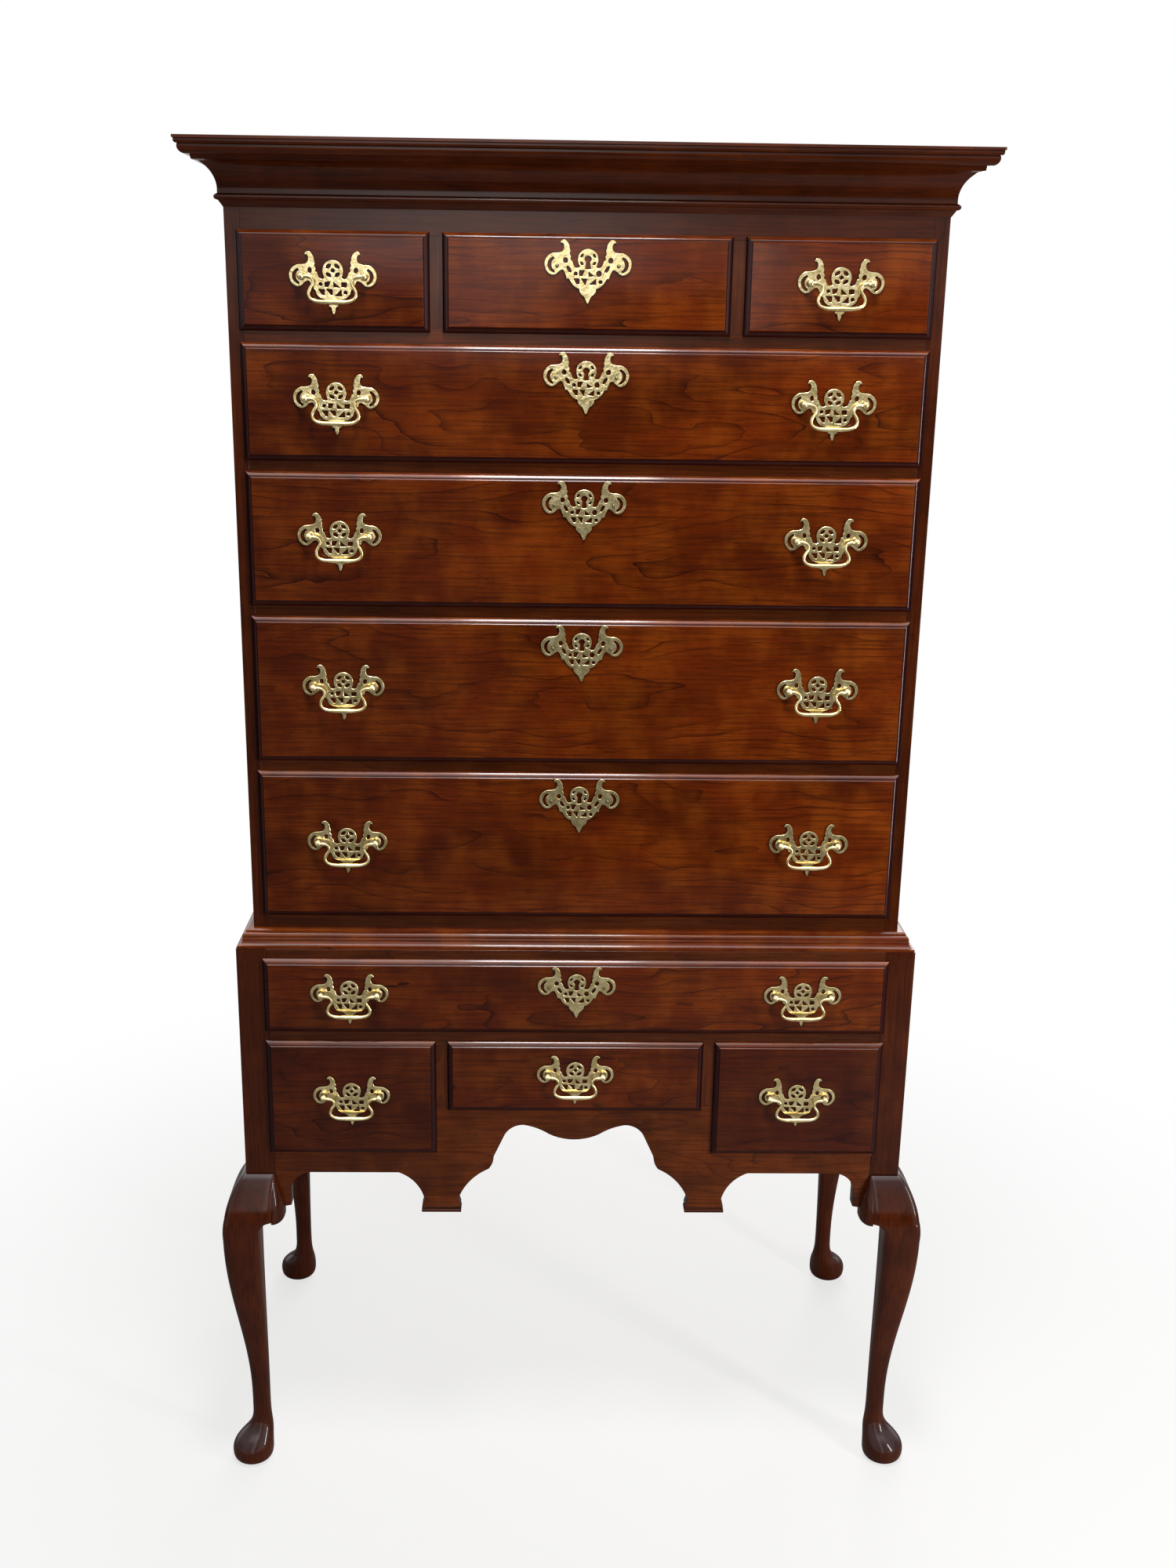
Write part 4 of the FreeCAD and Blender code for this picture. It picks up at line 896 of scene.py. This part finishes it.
# radius and reach, from the plate outwards; the waist is where tarnish gathers
turnings = {"post": [(0, 0, 1), (5.4, 0, 1), (5.4, 0.9), (4.7, 1.9), (3.5, 2.6), (3.0, 4.6), (3.1, 6.0),
                     (4.2, 7.6), (4.7, 9.8), (4.1, 12.2), (2.2, 13.8), (0, 14.3, 1)], "postWaist": 3.2,
            "nail": [(0, -1, 1), (2.4, -1, 1), (2.4, 0.2), (1.9, 1.0), (1.0, 1.4), (0, 1.5, 1)],
            "nailWaist": 0.0, "around": 20, "tip": 0.02, "spread": 3.0, "darkest": 0.8}


def turned(kind, centre):
    # A profile turned about the line that runs to the front.
    radius, reach = smoothLine(turnings[kind], 3, closed=False).T
    radius = np.maximum(radius, turnings["tip"])
    around = turnings["around"]
    angle = np.arange(around) / around * 2 * np.pi
    grid = np.stack([radius[:, None] * np.cos(angle), np.repeat(-reach[:, None], around, 1),
                     radius[:, None] * np.sin(angle)], -1)
    near = 1 - np.abs(reach - turnings[kind + "Waist"]) / turnings["spread"]
    tarnish = np.repeat(np.clip(near, 0, turnings["darkest"]), around)
    return castPart(surface(grid, wrap=True, caps=True), centre, tarnish)


# the bail's path from a post to the middle, in from the post and down from it; its radius at shares
# of the way from the middle to the post
bailSizes = {"path": [(-0.5, 0), (4, 0), (8.2, 0.5), (12.2, 1.9), (14.6, 5.2), (14.2, 9.8), (11.5, 14.2),
                      (9.5, 18.8), (9.7, 23.2), (12.8, 27.0), (18.4, 29.2), (26.0, 29.9)], "drop": 29.9,
             "shares": [0, 0.12, 0.26, 0.36, 0.62, 0.80, 0.85, 0.90, 0.94, 1],
             "radii": [3.0, 2.85, 2.3, 2.0, 1.9, 1.6, 2.0, 2.5, 1.7, 1.6], "around": 14, "dull": 0.5}


def swingBail(centre):
    # A round bar along its path, thick in the grip; the ring at each point stands square to the path.
    size, pin = bailSizes, plateSizes["boring"] / 2
    half = [(pin - inwards, -down) for inwards, down in size["path"]]
    path = smoothLine(half + [(0, -size["drop"])] + [(-x, z) for x, z in half[::-1]], 6, closed=False)
    step = np.gradient(path, axis=0)
    tangent = step / np.linalg.norm(step, axis=1, keepdims=True)
    lengths = np.concatenate([[0], np.cumsum(np.linalg.norm(np.diff(path, axis=0), axis=1))])
    share = np.abs(lengths / lengths[-1] * 2 - 1)
    radius = softened(np.interp(share, size["shares"], size["radii"]), 2)
    angle = np.arange(size["around"]) / size["around"] * 2 * np.pi
    across = np.stack([tangent[:, 1], -tangent[:, 0]], -1)
    ring = radius[:, None] * np.cos(angle)[None]
    grid = np.stack([path[:, None, 0] + across[:, None, 0] * ring,
                     radius[:, None] * np.sin(angle)[None],
                     path[:, None, 1] + across[:, None, 1] * ring], -1)
    points, faces = surface(grid, wrap=True, caps=True)
    dulled = np.clip(points[:, 1] / size["radii"][0] * size["dull"], 0, size["dull"])   # at the back
    return castPart((points, faces), centre, dulled)


bailNames = [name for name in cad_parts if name.startswith("bail_")]
keyed = ("top_centre", "second", "third", "fourth", "fifth", "lower_long")
for drawerName in drawerNames:
    low, high = placeOf("drawer_" + drawerName)
    line = (low[2] + high[2]) / 2 + plateSizes["lift"]
    fittings = []
    ownBails = ["bail_" + drawerName + side for side in ("", "_left", "_right")]
    for bailName in [name for name in bailNames if name in ownBails]:
        bailLow, bailHigh = placeOf(bailName)
        middle = (bailLow[0] + bailHigh[0]) / 2
        fittings.append(mounted(pullPlate, (middle, low[1], line)))
        for side in (-1, 1):
            fittings.append(turned("post", (middle + side * plateSizes["boring"] / 2, low[1], line)))
        bail = swingBail((middle, low[1] - plateSizes["pin"], line))
        makePiece(bailName + "_cast", [bail], brass, bailName, [bailName], smooth=60)
    if drawerName in keyed:
        middle = (low[0] + high[0]) / 2
        keyLine = high[2] - plateSizes["keyDrop"]
        fittings.append(mounted(keyPlate, (middle, low[1], keyLine)))
        nailLine = keyLine - plateSizes["nailDrop"]
        for side in (-1, 1):
            fittings.append(turned("nail", (middle + side * plateSizes["nail"], low[1] - thick, nailLine)))
    makePiece("brasses_" + drawerName + "_cast", fittings, brass, "drawer_" + drawerName,
              ["brasses_" + drawerName], smooth=30)
print("brasses cast:", len(bailNames), "bails")


# Boards that stay as they are in the frame get their finish from object coordinates.
bareAcross = woodMaterial("poplarAcross", poplar, "x")
bareBack = woodMaterial("poplarUpright", poplar, "z")
bareDeep = woodMaterial("poplarDeep", poplar, "y")
finishOf = {"upper_top": bareAcross, "upper_bottom": bareAcross, "upper_back": bareBack,
            "lower_back": bareAcross, "lower_bearers": bareDeep, "upper_runners": bareDeep,
            "lower_runners": bareDeep}
for node, finish in finishOf.items():
    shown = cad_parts[node]
    shown.data.materials.clear()
    shown.data.materials.append(finish)
print("plain boards finished")


# Studio: a pale floor that keeps the shadow, soft lamps overhead, in front and behind, a white
# surround. Places and sizes are in metres, powers in watts.
studio = {"floor": 2.4, "rimPoints": 256, "paint": "#c9c7c4", "specks": "#d2d0cd", "shineDimmed": 0.55,
          "world": 0.2,
          "lamps": {"ceilingLamp": ((0.0, -0.85, 3.1), (0, -0.3, 0.9), (0.45, 0.8), 56),
                    "frontLamp": ((1.6, -1.35, 0.95), (0, 0, 0.9), (0.12, 1.2), 27),
                    "rearLamp": ((0.6, 2.6, 2.0), (0, 0, 0.9), (1.6, 1.6), 55)}}


def floorMaterial():
    # Painted board. What the camera sees goes over into plain white further off, so no edge shows.
    material, tree = newMaterial("studioFloorPainted")
    spot = addNode(tree, "TexCoord").outputs["Object"]
    distance = addNode(tree, "VectorMath", "LENGTH", {0: spot}).outputs["Value"]
    far = addNode(tree, "MapRange", eased, {
        "Value": distance, "From Min": 0.4, "From Max": 1.7, "To Min": 0.7, "To Max": 1.0})
    specks = addNode(tree, "TexNoise", {}, {"Vector": spot, "Scale": 250.0, "Detail": 2.0})
    colour = addNode(tree, "Mix", colours, {
        0: specks, 6: tone(studio["paint"]), 7: tone(studio["specks"])})
    paint = addNode(tree, "BsdfPrincipled", {}, {
        "Base Color": colour, "Roughness": 0.6, "Specular IOR Level": 0.2})
    glow = addNode(tree, "Emission", {}, {"Strength": 1.0})
    rays = addNode(tree, "LightPath")
    lit = addNode(tree, "Math", "MULTIPLY", {0: far, 1: rays.outputs["Is Camera Ray"]})
    shown = addNode(tree, "MixShader", {}, {0: lit, 1: paint, 2: glow})
    # shining surfaces find the floor dimmer than it is
    dark = addNode(tree, "BsdfDiffuse", {}, {"Color": (0, 0, 0, 1)})
    dimmed = addNode(tree, "Math", "MULTIPLY", {
        0: rays.outputs["Is Glossy Ray"], 1: studio["shineDimmed"]})
    mixed = addNode(tree, "MixShader", {}, {0: dimmed, 1: shown, 2: dark})
    addNode(tree, "OutputMaterial", {}, {0: mixed})
    return material


turns = np.arange(studio["rimPoints"]) / studio["rimPoints"] * 2 * np.pi
rim = studio["floor"] * np.stack([np.cos(turns), np.sin(turns), np.full(len(turns), -0.00025)], -1)
floorMesh = bpy.data.meshes.new("studioFloor")
floorMesh.from_pydata(rim.tolist(), [], [list(range(len(turns)))])
floorMesh.materials.append(floorMaterial())
floor = bpy.data.objects.new("studioFloor", floorMesh)
bpy.context.scene.collection.objects.link(floor)

for name, (place, target, size, power) in studio["lamps"].items():
    lamp = bpy.data.lights.new(name, "AREA")
    lamp.shape = "RECTANGLE"
    lamp.size, lamp.size_y = size
    lamp.energy = power
    holder = bpy.data.objects.new(name, lamp)
    bpy.context.scene.collection.objects.link(holder)
    x, y, z = np.array(target) - np.array(place)
    holder.location = place
    holder.rotation_euler = (math.atan2(math.hypot(x, y), -z), 0, math.atan2(x, -y) + math.pi)

world = bpy.data.worlds.new("studioAir")
bpy.context.scene.world = world
world.use_nodes = True
world.node_tree.nodes.clear()
air = world.node_tree
rays = addNode(air, "LightPath")
mirrored = addNode(air, "Math", "MAXIMUM", {
    0: rays.outputs["Is Glossy Ray"], 1: rays.outputs["Is Transmission Ray"]})
seen = addNode(air, "Math", "MAXIMUM", {0: rays.outputs["Is Camera Ray"], 1: mirrored})
aim = addNode(air, "SeparateXYZ", {}, {0: addNode(air, "TexCoord").outputs["Generated"]}).outputs


def glowSum(terms, total):
    # Each term grows as a smooth step from nothing at low to its most at high, along one direction.
    for axis, low, high, most in terms:
        term = addNode(air, "MapRange", eased, {
            "Value": aim[axis], "From Min": low, "From Max": high, "To Max": most})
        total = addNode(air, "Math", "ADD", {0: term, 1: total})
    return total


# What shines finds a white surround behind the piece and overhead, bright strips at both sides, and
# a dim room before it.
room = glowSum((("X", 0.0, -0.12, 0.12), ("X", -0.3, -0.5, 0.4), ("X", -0.85, -0.95, -0.5),
                ("X", 0.3, 0.5, 0.8), ("X", 0.85, 0.95, -0.8),
                ("Y", 0.2, 0.7, 0.9), ("Z", 0.3, 0.7, 0.6), ("Z", 0.72, 0.95, 7.0)), 0.02)
# a lit wall before it, brightest left of the middle, starts at the height of its upper drawers
wall = glowSum((("X", -0.22, -0.05, 2.0), ("X", 0.0, 0.14, -1.9)), 0.75)
raised = addNode(air, "MapRange", eased, {"Value": aim["Z"], "From Min": -0.045, "From Max": 0.03})
room = addNode(air, "Math", "MULTIPLY_ADD", {0: wall, 1: raised, 2: room})
room = addNode(air, "Math", "MAXIMUM", {0: room, 1: 0.0})
strength = addNode(air, "Mix", {}, {0: mirrored, 2: 1.0, 3: room})
white = addNode(air, "Background", {}, {"Color": (1, 1, 1, 1), "Strength": strength})
plain = addNode(air, "Background", {}, {"Color": (1, 1, 1, 1), "Strength": studio["world"]})
mixed = addNode(air, "MixShader", {}, {0: seen, 1: plain, 2: white})
addNode(air, "OutputWorld", {}, {0: mixed})

# Camera: place in mm, angles in degrees, focal length and shift in shares of the view's height
view = {"place": (-63.8, -2237.7, 1622.4), "yaw": 1.185, "pitch": -15.839, "roll": 0.772,
        "focal": 1.013195, "shift": (0.01589, -0.00627), "sensor": 36}
camera = bpy.data.objects.new("camera", bpy.data.cameras.new("camera"))
bpy.context.scene.collection.objects.link(camera)
yaw, pitch, roll = (math.radians(view[name]) for name in ("yaw", "pitch", "roll"))
forward = np.array([math.sin(yaw) * math.cos(pitch), math.cos(yaw) * math.cos(pitch), math.sin(pitch)])
level = np.array([math.cos(yaw), -math.sin(yaw), 0])
upright = np.cross(level, forward)
right = math.cos(roll) * level + math.sin(roll) * upright
above = -math.sin(roll) * level + math.cos(roll) * upright
stand = np.eye(4)
stand[:3] = np.stack([right, above, -forward, np.array(view["place"]) / 1000], -1)
camera.matrix_world = Matrix(stand.tolist())
camera.data.sensor_fit = "AUTO"
camera.data.sensor_width = view["sensor"]
camera.data.lens = view["sensor"] * view["focal"]
camera.data.shift_x, camera.data.shift_y = view["shift"]
camera.data.clip_start = 0.05
camera.data.clip_end = 60
bpy.context.scene.camera = camera
bpy.context.scene.view_settings.view_transform = "Standard"
print("studio set")
